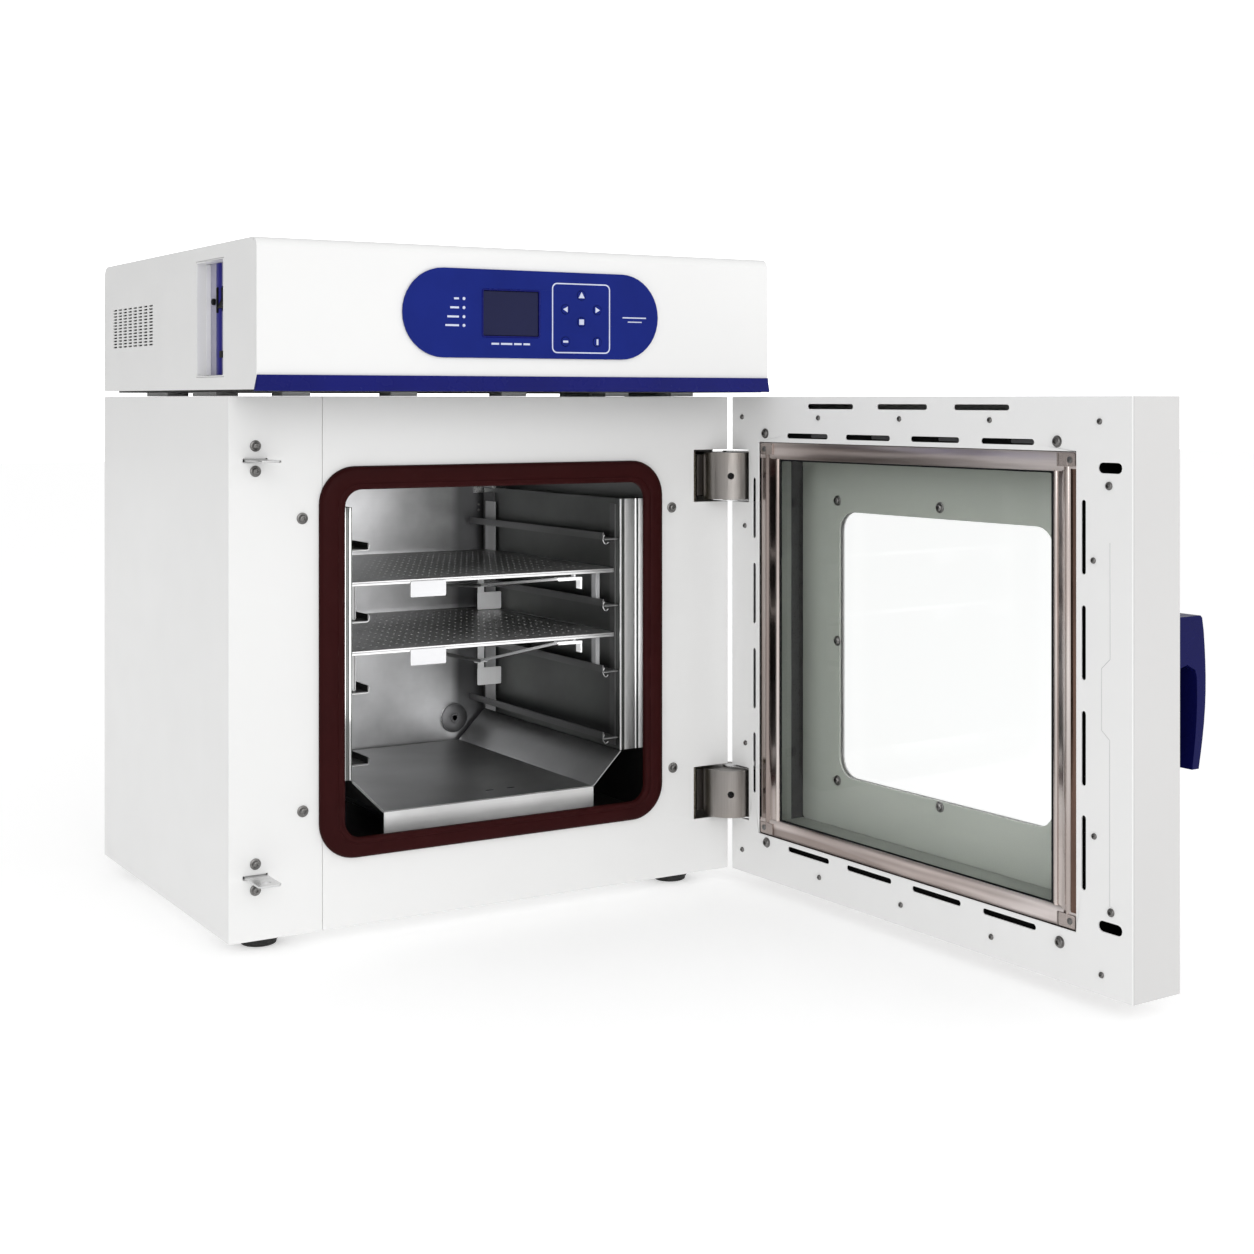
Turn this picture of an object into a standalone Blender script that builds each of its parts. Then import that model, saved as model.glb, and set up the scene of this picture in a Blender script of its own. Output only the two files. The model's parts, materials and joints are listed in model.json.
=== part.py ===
"""Bench-top forced-convection drying oven: insulated cabinet, glazed door, control housing on top.

Names and sizes below are in millimetres and become metres where a mesh is made. The oven's own
frame has x from the cabinet's left side to its right, y from its front face to its back and z up
from the floor; the root empty then carries it so that the whole oven, door open, is centred on
the world origin. The door is drawn shut and its pivot empty swings it open.
"""

import math

import bmesh
import bpy
from mathutils import Euler, Matrix, Vector

MM = 0.001
GAP = 0.3                   # between pieces that touch
SHEET = 1.5                 # painted steel panels
THIN = 1.2                  # stainless sheet

# Lower cabinet
WIDTH, HEIGHT, DEPTH = 550, 500, 400
FOOT_HEIGHT, FOOT_RADIUS, FOOT_INSET = 15, 20, 45
BOTTOM = FOOT_HEIGHT
TOP = BOTTOM + HEIGHT
SEAM_X = 91                 # left panel's front return ends here

# Chamber mouth and its gasket: left, right, and distances below the cabinet's top
MOUTH_LEFT, MOUTH_RIGHT, MOUTH_TOP, MOUTH_BOTTOM, MOUTH_RADIUS = 111.2, 444.8, 86.8, 417.2, 17
SEAL_LEFT, SEAL_RIGHT, SEAL_TOP, SEAL_BOTTOM, SEAL_RADIUS = 87.3, 465.7, 65.8, 435.3, 36
SEAL_THICK, SEAL_REACH = 6.4, 1.2  # the seal's inner edge reaches past the front frame's

# Liner and the air guides inside it
LINER_LEFT, LINER_RIGHT, LINER_TOP, LINER_BOTTOM = 96, 464, 78, 434
LINER_FRONT, LINER_BACK = 3, 341.2
GUIDE_LEFT, GUIDE_RIGHT, GUIDE_TOP, GUIDE_KNEE, GUIDE_FLOOR = 130, 430, 106, 367, 401
GUIDE_FRONT, GUIDE_BACK, GUIDE_FACE, GUIDE_CHAMFER = 22, 334, 28, 33
FLOOR_FLANGE = 24

# Shelves and the runners that carry them
RUNNER_LEVELS = (147, 216, 284.5, 353.5)
RUNNER_WIDTH, RUNNER_LIP, RUNNER_FRONT, RUNNER_BACK = 19, 6, 30, 330
UPRIGHT_FRONT, UPRIGHT_BACK, UPRIGHT_WIDTH = 30, 304, 26
SHELF_DROPS = {"shelf_upper": 178.5, "shelf_lower": 245.3}
SHELF_FRONT, SHELF_BACK, SHELF_SIDE_GAP, SHELF_LIP = 30, 322, 3, 4
LEG_NEAR, LEG_FAR = 10, 14.6       # in from the shelf's sides
FRONT_TAB_LEFT, FRONT_TAB_RIGHT, FRONT_TAB_HIGH, FRONT_TAB_LOW = 194.5, 233, 2.5, 18
REAR_TAB_DROPS = {"shelf_upper": 46, "shelf_lower": 66}
REAR_TAB_LEFT, REAR_TAB_RIGHT, REAR_TAB_HEIGHT, REAR_TAB_Y = 396, 426.5, 20, 285
CLIP_LEFT, CLIP_RIGHT, CLIP_Y, CLIP_DROP = 380, 409, 70, 12

# Door: u runs from the hinge edge to the free edge, n out from the inner face
DOOR_GAP = 7
HINGE_X, HINGE_Y = 549, -DOOR_GAP / 2
DOOR_OPEN = 92.3            # degrees at rest
DOOR_WIDTH, DOOR_THICK = 547.5, 58
DOOR_EDGE = 1
DOOR_FRONT = -DOOR_GAP - DOOR_THICK
PANEL_LEFT, PANEL_RIGHT, PANEL_TOP, PANEL_BOTTOM = 47, 486, 47, 454
FRAME_SIDE, FRAME_RAIL = 32, 17
WINDOW_LEFT, WINDOW_RIGHT, WINDOW_TOP, WINDOW_BOTTOM, WINDOW_RADIUS = 119, 414, 117.5, 388, 20
CAVITY_SIDE = 12            # the space between the panes reaches this far behind the frame

# Slots through the door's inner panel: places along u and below the door's top, and sizes
TOP_SLOTS_U, TOP_SLOT_DROP, TOP_SLOT_LENGTH = (162, 267, 372.5), 10, 70
ROW_SLOTS_U, ROW_SLOT_LENGTH = (126, 218, 312, 405), 65
UPPER_ROW_DROP, LOWER_ROW_DROP, LOWER_ROW_SHIFT = 40, 461, 2
SIDE_SLOT_DROPS, SIDE_SLOT_LENGTH = (116, 205, 294, 382), 63
HINGE_SLOTS_U, FREE_SLOTS_U, FREE_SLOT_SHIFT = 39.3, 494.3, 3
LATCH_SLOT_LENGTH, LATCH_SLOT_WIDTH, ROW_SLOT_WIDTH, SIDE_SLOT_WIDTH = 26, 9, 5.2, 5

# Hinges: a barrel on the cabinet and a pinned leaf on the door, in cut-outs of both
HINGE_DROPS = {"upper": 83.2, "lower": 416.6}
BARREL_RADIUS, BARREL_HEIGHT, PIN_RADIUS, PIN_CLEARANCE = 27, 49, 5, 0.4
CUTOUT_HEIGHT, CUTOUT_CABINET, CUTOUT_DOOR = 54.6, 43, 29

# Latch: tongues on the cabinet, a sliding rod in the door, a pull handle that works it
TONGUE_DROPS = {"upper": 59, "lower": 441}
TONGUE_X, TONGUE_WIDTH, TONGUE_LENGTH, TONGUE_THICK = 25.5, 22, 40, 2
PIN_HOLE_REACH, PIN_HOLE_RADIUS, LATCH_PIN_RADIUS = 29, 4, 2.8
ROD_N, ROD_WIDTH, ROD_THICK = 38, 12, 3
HANDLE_TOP, HANDLE_BOTTOM, SCOOP_TOP = 187, 317.5, 228
HANDLE_LEFT, HANDLE_RIGHT, HANDLE_DEPTH, HANDLE_BULGE = 497, 537, 39.5, 6
LEVER_U = 523.5
PIVOT_DROP, PIVOT_N = 197, 67

# Control housing
HOUSING_LOW, HOUSING_HIGH = TOP + 6, TOP + 141
HOUSING_FRONT, FASCIA_THICK = -72.5, 2
FRONT_BEND, REAR_BEND = 10, 12     # round edges between the housing's top and its front and rear
INLET_LEFT, INLET_RIGHT, INLET_LOW, INLET_HIGH = 60, 110, 30, 58
OVERLAY_LEFT, OVERLAY_RIGHT, OVERLAY_LOW, OVERLAY_HIGH = 139, 415, 36, 119.4
LCD_LEFT, LCD_RIGHT, LCD_LOW, LCD_HIGH = 222, 280, 57.5, 99
BUTTON_RADIUS, BUTTON_TRAVEL_ROOM = 4.4, 2.5
BUTTONS = {
    "button_up": (327.5, 97.5),
    "button_left": (309.8, 83.7),
    "button_right": (345.2, 83.7),
    "button_down": (327.5, 71.8),
    "button_menu": (309.8, 52.7),
    "button_enter": (345.2, 52.7),
}
POCKET_FRONT, POCKET_BACK, POCKET_LOW, POCKET_HIGH, POCKET_DEPTH = 15, 89, 19.5, 126, 13
SWITCH_Y, SWITCH_Z, SWITCH_WIDTH, SWITCH_HEIGHT = 46, 92, 26, 22
SWITCH_TILT = 8             # degrees either way
FRONT_SPACERS_X = (70, 180, 300, 420, 500)
SIDE_SPACERS_Y = ((80, 150), (228, 298))
VENT_COLUMNS, VENT_ROWS = 8, 13
VENT_FRONT, VENT_BACK, VENT_LOW, VENT_HIGH = 225, 368, 52.8, 92.2
VENT_SLOT_LENGTH, VENT_SLOT_HEIGHT = 13.5, 1.7

# Fan, vent and electrical parts
FAN_Y, FAN_DROP, FAN_RADIUS, FAN_LEFT, FAN_RIGHT = 180, 236, 55, 104, 120
VENT_X, VENT_DROP, VENT_FLANGE, VENT_TUBE, VENT_BORE = 393, 376, 17, 10, 4

ROUND = 24                  # sides of a round piece


# ---- scene, materials and placing ----------------------------------------------------------------


def clear_scene():
    for obj in list(bpy.data.objects):
        bpy.data.objects.remove(obj, do_unlink=True)


def collection(name, hidden=False):
    made = bpy.data.collections.new(name)
    made.hide_render = hidden
    bpy.context.scene.collection.children.link(made)
    return made


clear_scene()
PARTS = collection("drying_oven")
CUTTERS = collection("cutters", hidden=True)


def make_material(name, colour, roughness, metallic=0.0, alpha=1.0):
    material = bpy.data.materials.new(name)
    material.use_nodes = True
    shader = material.node_tree.nodes["Principled BSDF"]
    shader.inputs["Base Color"].default_value = (*colour, 1.0)
    shader.inputs["Roughness"].default_value = roughness
    shader.inputs["Metallic"].default_value = metallic
    shader.inputs["Alpha"].default_value = alpha
    return material


WHITE = make_material("white_powder_coat", (0.86, 0.86, 0.85), 0.4)
STEEL = make_material("brushed_stainless", (0.55, 0.55, 0.55), 0.35, metallic=1.0)
DARK_STEEL = make_material("chamber_stainless", (0.30, 0.30, 0.31), 0.4, metallic=1.0)
SILICONE = make_material("red_silicone", (0.045, 0.006, 0.006), 0.5)
RUBBER = make_material("black_rubber", (0.012, 0.012, 0.012), 0.7)
BLUE = make_material("blue_plastic", (0.012, 0.02, 0.19), 0.3)
GLASS = make_material("clear_glass", (0.75, 0.8, 0.77), 0.05, alpha=0.35)
BLACK = make_material("black_plastic", (0.01, 0.01, 0.012), 0.5)
GREY = make_material("light_grey_plastic", (0.62, 0.62, 0.63), 0.5)
WOOL = make_material("mineral_wool", (0.55, 0.5, 0.38), 0.95)
BOARD = make_material("circuit_board", (0.02, 0.2, 0.06), 0.5)


def empty(name, at=(0, 0, 0), parent=None, turn=0.0):
    """A pivot at a place of the oven's frame, turned about z by degrees."""
    made = bpy.data.objects.new(name, None)
    PARTS.objects.link(made)
    made.location = Vector(at) * MM
    made.rotation_euler.z = math.radians(turn)
    made.parent = parent
    return made


ROOT = empty("oven_root")


def place(name, data, material, parent=None, location=(0, 0, 0), rotation=(0, 0, 0)):
    """An object of the oven, its location in the oven's frame. A pivot that already stands
    somewhere takes that place off, so a piece is always drawn where it lies with the door shut."""
    obj = bpy.data.objects.new(name, data)
    PARTS.objects.link(obj)
    parent = parent or ROOT
    obj.parent = parent
    stood = Vector((0, 0, 0))
    above = parent
    while above is not None and above is not ROOT:
        stood += Vector(above.location)
        above = above.parent
    obj.location = Vector(location) * MM - stood
    obj.rotation_euler = [math.radians(angle) for angle in rotation]
    data.materials.append(material)
    return obj


# ---- shapes ----------------------------------------------------------------------------------------


def mesh_of(build):
    """A mesh from a function that fills a bmesh in millimetres."""
    body = bmesh.new()
    build(body)
    bmesh.ops.scale(body, vec=(MM, MM, MM), verts=body.verts)
    mesh = bpy.data.meshes.new("mesh")
    body.to_mesh(mesh)
    body.free()
    return mesh


def box(name, low, high, material=STEEL, parent=None):
    low, high = Vector(low), Vector(high)

    def build(body):
        size = Matrix.Diagonal((*(high - low), 1))
        bmesh.ops.create_cube(body, size=1, matrix=Matrix.Translation((low + high) / 2) @ size)

    return place(name, mesh_of(build), material, parent)


def rod(name, start, end, radius, material=STEEL, parent=None, sides=ROUND, end_radius=None):
    """A cylinder, or a cone, between two points."""
    start, end = Vector(start), Vector(end)
    along = end - start
    turn = along.to_track_quat("Z", "Y").to_matrix().to_4x4()

    def build(body):
        bmesh.ops.create_cone(
            body, cap_ends=True, segments=sides, depth=along.length, radius1=radius,
            radius2=radius if end_radius is None else end_radius,
            matrix=Matrix.Translation((start + end) / 2) @ turn,
        )

    mesh = mesh_of(build)
    mesh.shade_smooth()
    mesh.set_sharp_from_angle(angle=math.radians(35))
    return place(name, mesh, material, parent)


def rounded(left, right, low, high, radius, steps=5):
    """The outline of a rectangle with round corners, anticlockwise."""
    if radius <= 0:
        return [(left, low), (right, low), (right, high), (left, high)]
    corners = (
        (right - radius, low + radius, -90),
        (right - radius, high - radius, 0),
        (left + radius, high - radius, 90),
        (left + radius, low + radius, 180),
    )
    outline = []
    for x, z, first in corners:
        for step in range(steps + 1):
            angle = math.radians(first + 90 * step / steps)
            outline.append((x + radius * math.cos(angle), z + radius * math.sin(angle)))
    return outline


def circle(x, z, radius, sides=ROUND):
    turns = (2 * math.pi * side / sides for side in range(sides))
    return [(x + radius * math.cos(turn), z + radius * math.sin(turn)) for turn in turns]


FACES = {"top": (0, 0, 0), "front": (90, 0, 0), "side": (90, 0, 90)}


def plate(name, outlines, face, low, high, material=STEEL, parent=None):
    """Flat outlines, the later ones holes, spread between two planes across the face's axis:
    "top" draws x, y and spreads along z, "front" draws x, z along y, "side" draws y, z along x."""
    curve = bpy.data.curves.new(name, "CURVE")
    curve.dimensions = "2D"
    curve.fill_mode = "BOTH"
    curve.extrude = (high - low) / 2 * MM
    for outline in outlines:
        spline = curve.splines.new("POLY")
        spline.points.add(len(outline) - 1)
        for point, (x, y) in zip(spline.points, outline):
            point.co = (x * MM, y * MM, 0, 1)
        spline.use_cyclic_u = True
    middle = (low + high) / 2
    where = {"top": (0, 0, middle), "front": (0, middle, 0), "side": (middle, 0, 0)}[face]
    return place(name, curve, material, parent, where, FACES[face])


def as_mesh(obj):
    """A curve object made a welded mesh in its place, so that a Boolean can take it."""
    bpy.context.view_layer.update()
    graph = bpy.context.evaluated_depsgraph_get()
    mesh = bpy.data.meshes.new_from_object(obj.evaluated_get(graph))
    body = bmesh.new()
    body.from_mesh(mesh)
    bmesh.ops.remove_doubles(body, verts=body.verts, dist=1e-6)
    bmesh.ops.recalc_face_normals(body, faces=body.faces)
    body.to_mesh(mesh)
    body.free()
    name, parent, world = obj.name, obj.parent, obj.matrix_world.copy()
    bpy.data.objects.remove(obj, do_unlink=True)
    made = bpy.data.objects.new(name, mesh)
    PARTS.objects.link(made)
    made.parent = parent
    made.matrix_world = world
    return made


def boolean(target, tools, operation):
    """Every tool cut from, or joined to, the target. The tools are hidden and ride with it."""
    for tool in tools:
        modifier = target.modifiers.new(tool.name, "BOOLEAN")
        modifier.operation = operation
        modifier.object = tool
        tool.hide_render = True
        tool.display_type = "WIRE"
        PARTS.objects.unlink(tool)
        CUTTERS.objects.link(tool)
    return target


def cut(target, *tools):
    return boolean(target, tools, "DIFFERENCE")


def join(target, *pieces):
    return boolean(target, pieces, "UNION")


def open_tray(name, outline, open_y, closed_y, wall, material, parent=None):
    """A sheet-metal tray: the outline's walls run from the open plane to a flat floor, and the
    sheet's thickness grows into the tray."""

    def build(body):
        mouth = [body.verts.new((x, open_y, z)) for x, z in outline]
        floor = [body.verts.new((x, closed_y, z)) for x, z in outline]
        body.faces.new(floor)
        for here in range(len(outline)):
            after = (here + 1) % len(outline)
            body.faces.new((mouth[here], mouth[after], floor[after], floor[here]))
        if closed_y > open_y:
            bmesh.ops.reverse_faces(body, faces=body.faces)

    obj = place(name, mesh_of(build), material, parent)
    solid = obj.modifiers.new("Sheet", "SOLIDIFY")
    solid.thickness = wall * MM
    solid.offset = -1
    solid.use_even_offset = True
    return obj


def drop(distance):
    """The height of a place that lies this far below the cabinet's top."""
    return TOP - distance


# ---- lower cabinet ---------------------------------------------------------------------------------


def make_cabinet():
    back = DEPTH - SHEET
    inner_back = back - GAP
    left_profile = [(0, 0), (SEAM_X, 0), (SEAM_X, SHEET), (SHEET, SHEET), (SHEET, DEPTH), (0, DEPTH)]
    left = as_mesh(plate("left_side_panel", [left_profile], "top", BOTTOM, TOP, WHITE))
    slots = []
    for place_name, down in TONGUE_DROPS.items():
        half = TONGUE_WIDTH / 2 + 1
        slots.append(box(
            f"tongue_slot_{place_name}",
            (TONGUE_X - half, -5, drop(down) - 2), (TONGUE_X + half, 5, drop(down) + 2),
        ))
    cut(left, *slots)

    half = CUTOUT_HEIGHT / 2
    edge = [(WIDTH, BOTTOM)]
    for down in sorted(HINGE_DROPS.values(), reverse=True):
        low, high = drop(down) - half, drop(down) + half
        notch = WIDTH - CUTOUT_CABINET
        edge += [(WIDTH, low), (notch, low), (notch, high), (WIDTH, high)]
    front = [(SEAM_X + GAP, BOTTOM)] + edge + [(WIDTH, TOP), (SEAM_X + GAP, TOP)]
    reach = SEAL_REACH
    mouth = rounded(MOUTH_LEFT - reach, MOUTH_RIGHT + reach, drop(MOUTH_BOTTOM + reach),
                    drop(MOUTH_TOP - reach), MOUTH_RADIUS + reach)
    plate("front_frame", [front, mouth], "front", 0, SHEET, WHITE)

    side = []
    start, notch = SHEET + GAP, BARREL_RADIUS + 1
    side.append((start, BOTTOM))
    side += [(DEPTH, BOTTOM), (DEPTH, TOP), (start, TOP)]
    for down in sorted(HINGE_DROPS.values()):
        low, high = drop(down) - half, drop(down) + half
        side += [(start, high), (notch, high), (notch, low), (start, low)]
    plate("right_side_panel", [side], "side", WIDTH - SHEET, WIDTH, WHITE)

    inside = [(SHEET + GAP, SHEET + GAP), (WIDTH - SHEET - GAP, SHEET + GAP),
              (WIDTH - SHEET - GAP, inner_back), (SHEET + GAP, inner_back)]
    plate("cabinet_top", [inside], "top", TOP - SHEET, TOP, WHITE)
    plate("base_panel", [inside], "top", BOTTOM, BOTTOM + SHEET, WHITE)
    rear = rounded(SHEET + GAP, WIDTH - SHEET - GAP, BOTTOM, TOP, 0)
    vent = circle(VENT_X, drop(VENT_DROP), VENT_TUBE + 0.6)
    plate("rear_panel", [rear, vent], "front", back, DEPTH, WHITE)

    for x, side_name in ((FOOT_INSET, "left"), (WIDTH - FOOT_INSET, "right")):
        for y, end_name in ((FOOT_INSET, "front"), (DEPTH - FOOT_INSET, "rear")):
            rod(f"foot_{end_name}_{side_name}", (x, y, 0), (x, y, FOOT_HEIGHT - GAP),
                FOOT_RADIUS - 3, RUBBER, end_radius=FOOT_RADIUS)


def make_gasket():
    outer = rounded(SEAL_LEFT, SEAL_RIGHT, drop(SEAL_BOTTOM), drop(SEAL_TOP), SEAL_RADIUS, steps=8)
    inner = rounded(MOUTH_LEFT, MOUTH_RIGHT, drop(MOUTH_BOTTOM), drop(MOUTH_TOP), MOUTH_RADIUS,
                    steps=6)
    plate("door_gasket", [outer, inner], "front", -SEAL_THICK - GAP, -GAP, SILICONE)


def make_strikes():
    half = TONGUE_WIDTH / 2
    for place_name, down in TONGUE_DROPS.items():
        z = drop(down)
        name = f"strike_{place_name}"
        tongue = [(TONGUE_X - half, SHEET + GAP + 1), (TONGUE_X - half, -TONGUE_LENGTH + 3),
                  (TONGUE_X - half + 3, -TONGUE_LENGTH), (TONGUE_X + half - 3, -TONGUE_LENGTH),
                  (TONGUE_X + half, -TONGUE_LENGTH + 3), (TONGUE_X + half, SHEET + GAP + 1)]
        hole = circle(TONGUE_X, -PIN_HOLE_REACH, PIN_HOLE_RADIUS, 16)
        strike = as_mesh(plate(name, [tongue, hole], "top", z - TONGUE_THICK / 2,
                               z + TONGUE_THICK / 2, STEEL))
        back_plate = box(f"{name}_back_plate", (TONGUE_X - half, SHEET + GAP, z - 19),
                         (TONGUE_X + half, SHEET + GAP + 2, z + 19))
        join(strike, back_plate)


# ---- chamber ---------------------------------------------------------------------------------------


def make_liner():
    outline = rounded(LINER_LEFT, LINER_RIGHT, drop(LINER_BOTTOM), drop(LINER_TOP), 0)
    liner = open_tray("chamber_liner", outline, LINER_FRONT, LINER_BACK, THIN, DARK_STEEL)
    port = rod("liner_port", (VENT_X, LINER_BACK - 10, drop(VENT_DROP)),
               (VENT_X, LINER_BACK + 10, drop(VENT_DROP)), VENT_TUBE + 0.6)
    shaft = rod("liner_shaft_hole", (LINER_LEFT - 10, FAN_Y, drop(FAN_DROP)),
                (LINER_LEFT + 10, FAN_Y, drop(FAN_DROP)), 9)
    cut(liner, port, shaft)


def make_insulation():
    wool = box("insulation_jacket", (18, 5, 22), (512, 389, 508), WOOL)
    cavity = box("wool_cavity", (LINER_LEFT - 1, -20, drop(LINER_BOTTOM + 1)),
                 (LINER_RIGHT + 1, LINER_BACK + 1, drop(LINER_TOP - 1)))
    motor = rod("wool_motor_hole", (0, FAN_Y, drop(FAN_DROP)),
                (LINER_LEFT + 5, FAN_Y, drop(FAN_DROP)), 40)
    port = rod("wool_port", (VENT_X, LINER_BACK - 5, drop(VENT_DROP)),
               (VENT_X, DEPTH + 20, drop(VENT_DROP)), VENT_TUBE + 1)
    strike_room = box("wool_strike_room", (0, -20, 0), (60, 12, TOP + 50))
    cut(wool, cavity, motor, port, strike_room)


def make_air_guides():
    """The perforated side walls and the chamfered floor that hold the chamber inside the ducts."""
    low, high = drop(GUIDE_KNEE), drop(GUIDE_TOP)
    intake = [
        rounded(FAN_Y - 34, FAN_Y + 34, drop(FAN_DROP) + 11 * row - 3, drop(FAN_DROP) + 11 * row + 3,
                0)
        for row in range(-3, 4)
    ]
    wall = rounded(GUIDE_FRONT, GUIDE_BACK, low, high, 0)
    sides = (
        ("duct_panel_left", GUIDE_LEFT - THIN, GUIDE_LEFT, GUIDE_LEFT - GUIDE_FACE, intake),
        ("duct_panel_right", GUIDE_RIGHT, GUIDE_RIGHT + THIN, GUIDE_RIGHT + GUIDE_FACE, []),
    )
    for name, left, right, far, holes in sides:
        panel = as_mesh(plate(name, [wall] + holes, "side", left, right, STEEL))
        near = left if far < left else right
        ends = sorted((near + (0.6 if far < near else -0.6), far))
        face = box(f"{name}_face", (ends[0], GUIDE_FRONT - 0.5, low),
                   (ends[1], GUIDE_FRONT + THIN, high))
        join(panel, face)

    knee, floor = drop(GUIDE_KNEE) - GAP - 0.6, drop(GUIDE_FLOOR)
    left, right, slope = GUIDE_LEFT, GUIDE_RIGHT, GUIDE_CHAMFER
    under = THIN * math.tan(math.radians(22.5))
    section = [
        (left, knee), (left + slope, floor), (right - slope, floor), (right, knee),
        (right, knee - THIN * math.sqrt(2)), (right - slope + under, floor - THIN),
        (left + slope - under, floor - THIN), (left, knee - THIN * math.sqrt(2)),
    ]
    guide = as_mesh(plate("duct_floor", [section[::-1]], "front", GUIDE_FRONT, GUIDE_BACK,
                          DARK_STEEL))
    flange = box("duct_floor_flange", (left + slope, GUIDE_FRONT - 0.5, floor - FLOOR_FLANGE),
                 (right - slope, GUIDE_FRONT + THIN, floor - 0.4))
    join(guide, flange)


def make_racks():
    """Four lipped runners a side on two uprights, hung on the air guide's wall."""
    for name, wall, inward in (("rack_left", GUIDE_LEFT + GAP, 1),
                               ("rack_right", GUIDE_RIGHT - GAP, -1)):
        def across(near, far, wall=wall, inward=inward):
            ends = (wall + inward * near, wall + inward * far)
            return min(ends), max(ends)

        near, far = across(0, 2)
        top, bottom = drop(GUIDE_TOP + 6), drop(GUIDE_KNEE - 4)
        rack = box(name, (near, UPRIGHT_BACK, bottom), (far, UPRIGHT_BACK + UPRIGHT_WIDTH, top))
        pieces = [box(f"{name}_front_upright", (near, UPRIGHT_FRONT, bottom),
                      (far, UPRIGHT_FRONT + 10, top))]
        for level, down in enumerate(RUNNER_LEVELS):
            z = drop(down)
            low, high = across(0.8, RUNNER_WIDTH)
            pieces.append(box(f"{name}_runner_{level}", (low, RUNNER_FRONT - 4, z - THIN),
                              (high, RUNNER_BACK + 3, z)))
            low, high = across(RUNNER_WIDTH - THIN, RUNNER_WIDTH)
            pieces.append(box(f"{name}_lip_{level}", (low - 0.001, RUNNER_FRONT - 4.5, z - THIN / 2),
                              (high + 0.001, RUNNER_BACK + 3.5, z + RUNNER_LIP)))
        join(rack, *pieces)


def make_shelf(name, down):
    """A perforated plate with a turned-down front, on legs that stand in the runners, with a
    hanging tab at the front, another at the rear and the braces between them."""
    pivot = empty(f"{name}_slide", (0, SHELF_FRONT, drop(down)), ROOT)
    z = drop(down)
    runner = drop(min(level for level in RUNNER_LEVELS if level > down))
    left, right = GUIDE_LEFT + SHELF_SIDE_GAP, GUIDE_RIGHT - SHELF_SIDE_GAP
    shelf = box(name, (left, SHELF_FRONT, z - THIN), (right, SHELF_BACK, z), STEEL, pivot)
    pieces = [
        box(f"{name}_lip", (left + 0.5, SHELF_FRONT - 0.4, z - SHELF_LIP),
            (right - 0.5, SHELF_FRONT + THIN, z - 0.4), STEEL, pivot),
        box(f"{name}_front_tab", (FRONT_TAB_LEFT, SHELF_FRONT - 1.5, z - FRONT_TAB_LOW),
            (FRONT_TAB_RIGHT, SHELF_FRONT + THIN - 0.3, z - FRONT_TAB_HIGH), STEEL, pivot),
    ]
    for near, far in ((left + LEG_NEAR, left + LEG_FAR), (right - LEG_FAR, right - LEG_NEAR)):
        for y in (SHELF_FRONT + 14, SHELF_BACK - 34):
            pieces.append(box(f"{name}_leg_{near:.0f}_{y:.0f}", (near, y, runner + 0.5),
                              (far, y + 10, z - 0.5), STEEL, pivot))
    tab_y, tab_z = REAR_TAB_Y, z - REAR_TAB_DROPS[name]
    stem_left, stem_right = REAR_TAB_LEFT + 1, REAR_TAB_LEFT + 9
    knot = Vector((stem_left + 3, tab_y, tab_z + 8))
    clip_z = z - CLIP_DROP
    pieces += [
        box(f"{name}_stem", (stem_left, tab_y - 1, tab_z - 10), (stem_right, tab_y + 1.5, z - 0.6),
            STEEL, pivot),
        box(f"{name}_rear_tab", (REAR_TAB_LEFT, tab_y - 2, tab_z - REAR_TAB_HEIGHT),
            (REAR_TAB_RIGHT, tab_y + 0.5, tab_z), STEEL, pivot),
        box(f"{name}_knot", knot + Vector((-8, -2.2, -1.8)), knot + Vector((9, 0.4, 1.8)), STEEL,
            pivot),
        rod(f"{name}_diagonal", (FRONT_TAB_RIGHT - 3, SHELF_FRONT + 0.4, z - 9), knot, 1.3, STEEL,
            pivot, 8),
        rod(f"{name}_side_brace", knot, (CLIP_LEFT + 2, CLIP_Y, clip_z - 1), 1.3, STEEL, pivot, 8),
        box(f"{name}_clip", (CLIP_LEFT, CLIP_Y - 5, clip_z - 2), (CLIP_RIGHT, CLIP_Y + 5, clip_z),
            STEEL, pivot),
        box(f"{name}_hook", (CLIP_RIGHT - 2, CLIP_Y - 4.5, clip_z - 12),
            (CLIP_RIGHT - 0.2, CLIP_Y + 4.5, clip_z - 0.3), STEEL, pivot),
        box(f"{name}_hanger", (CLIP_RIGHT - 9, CLIP_Y - 4, clip_z - 0.5),
            (CLIP_RIGHT - 7, CLIP_Y + 4, z - 0.5), STEEL, pivot),
    ]
    join(shelf, *pieces)


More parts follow.
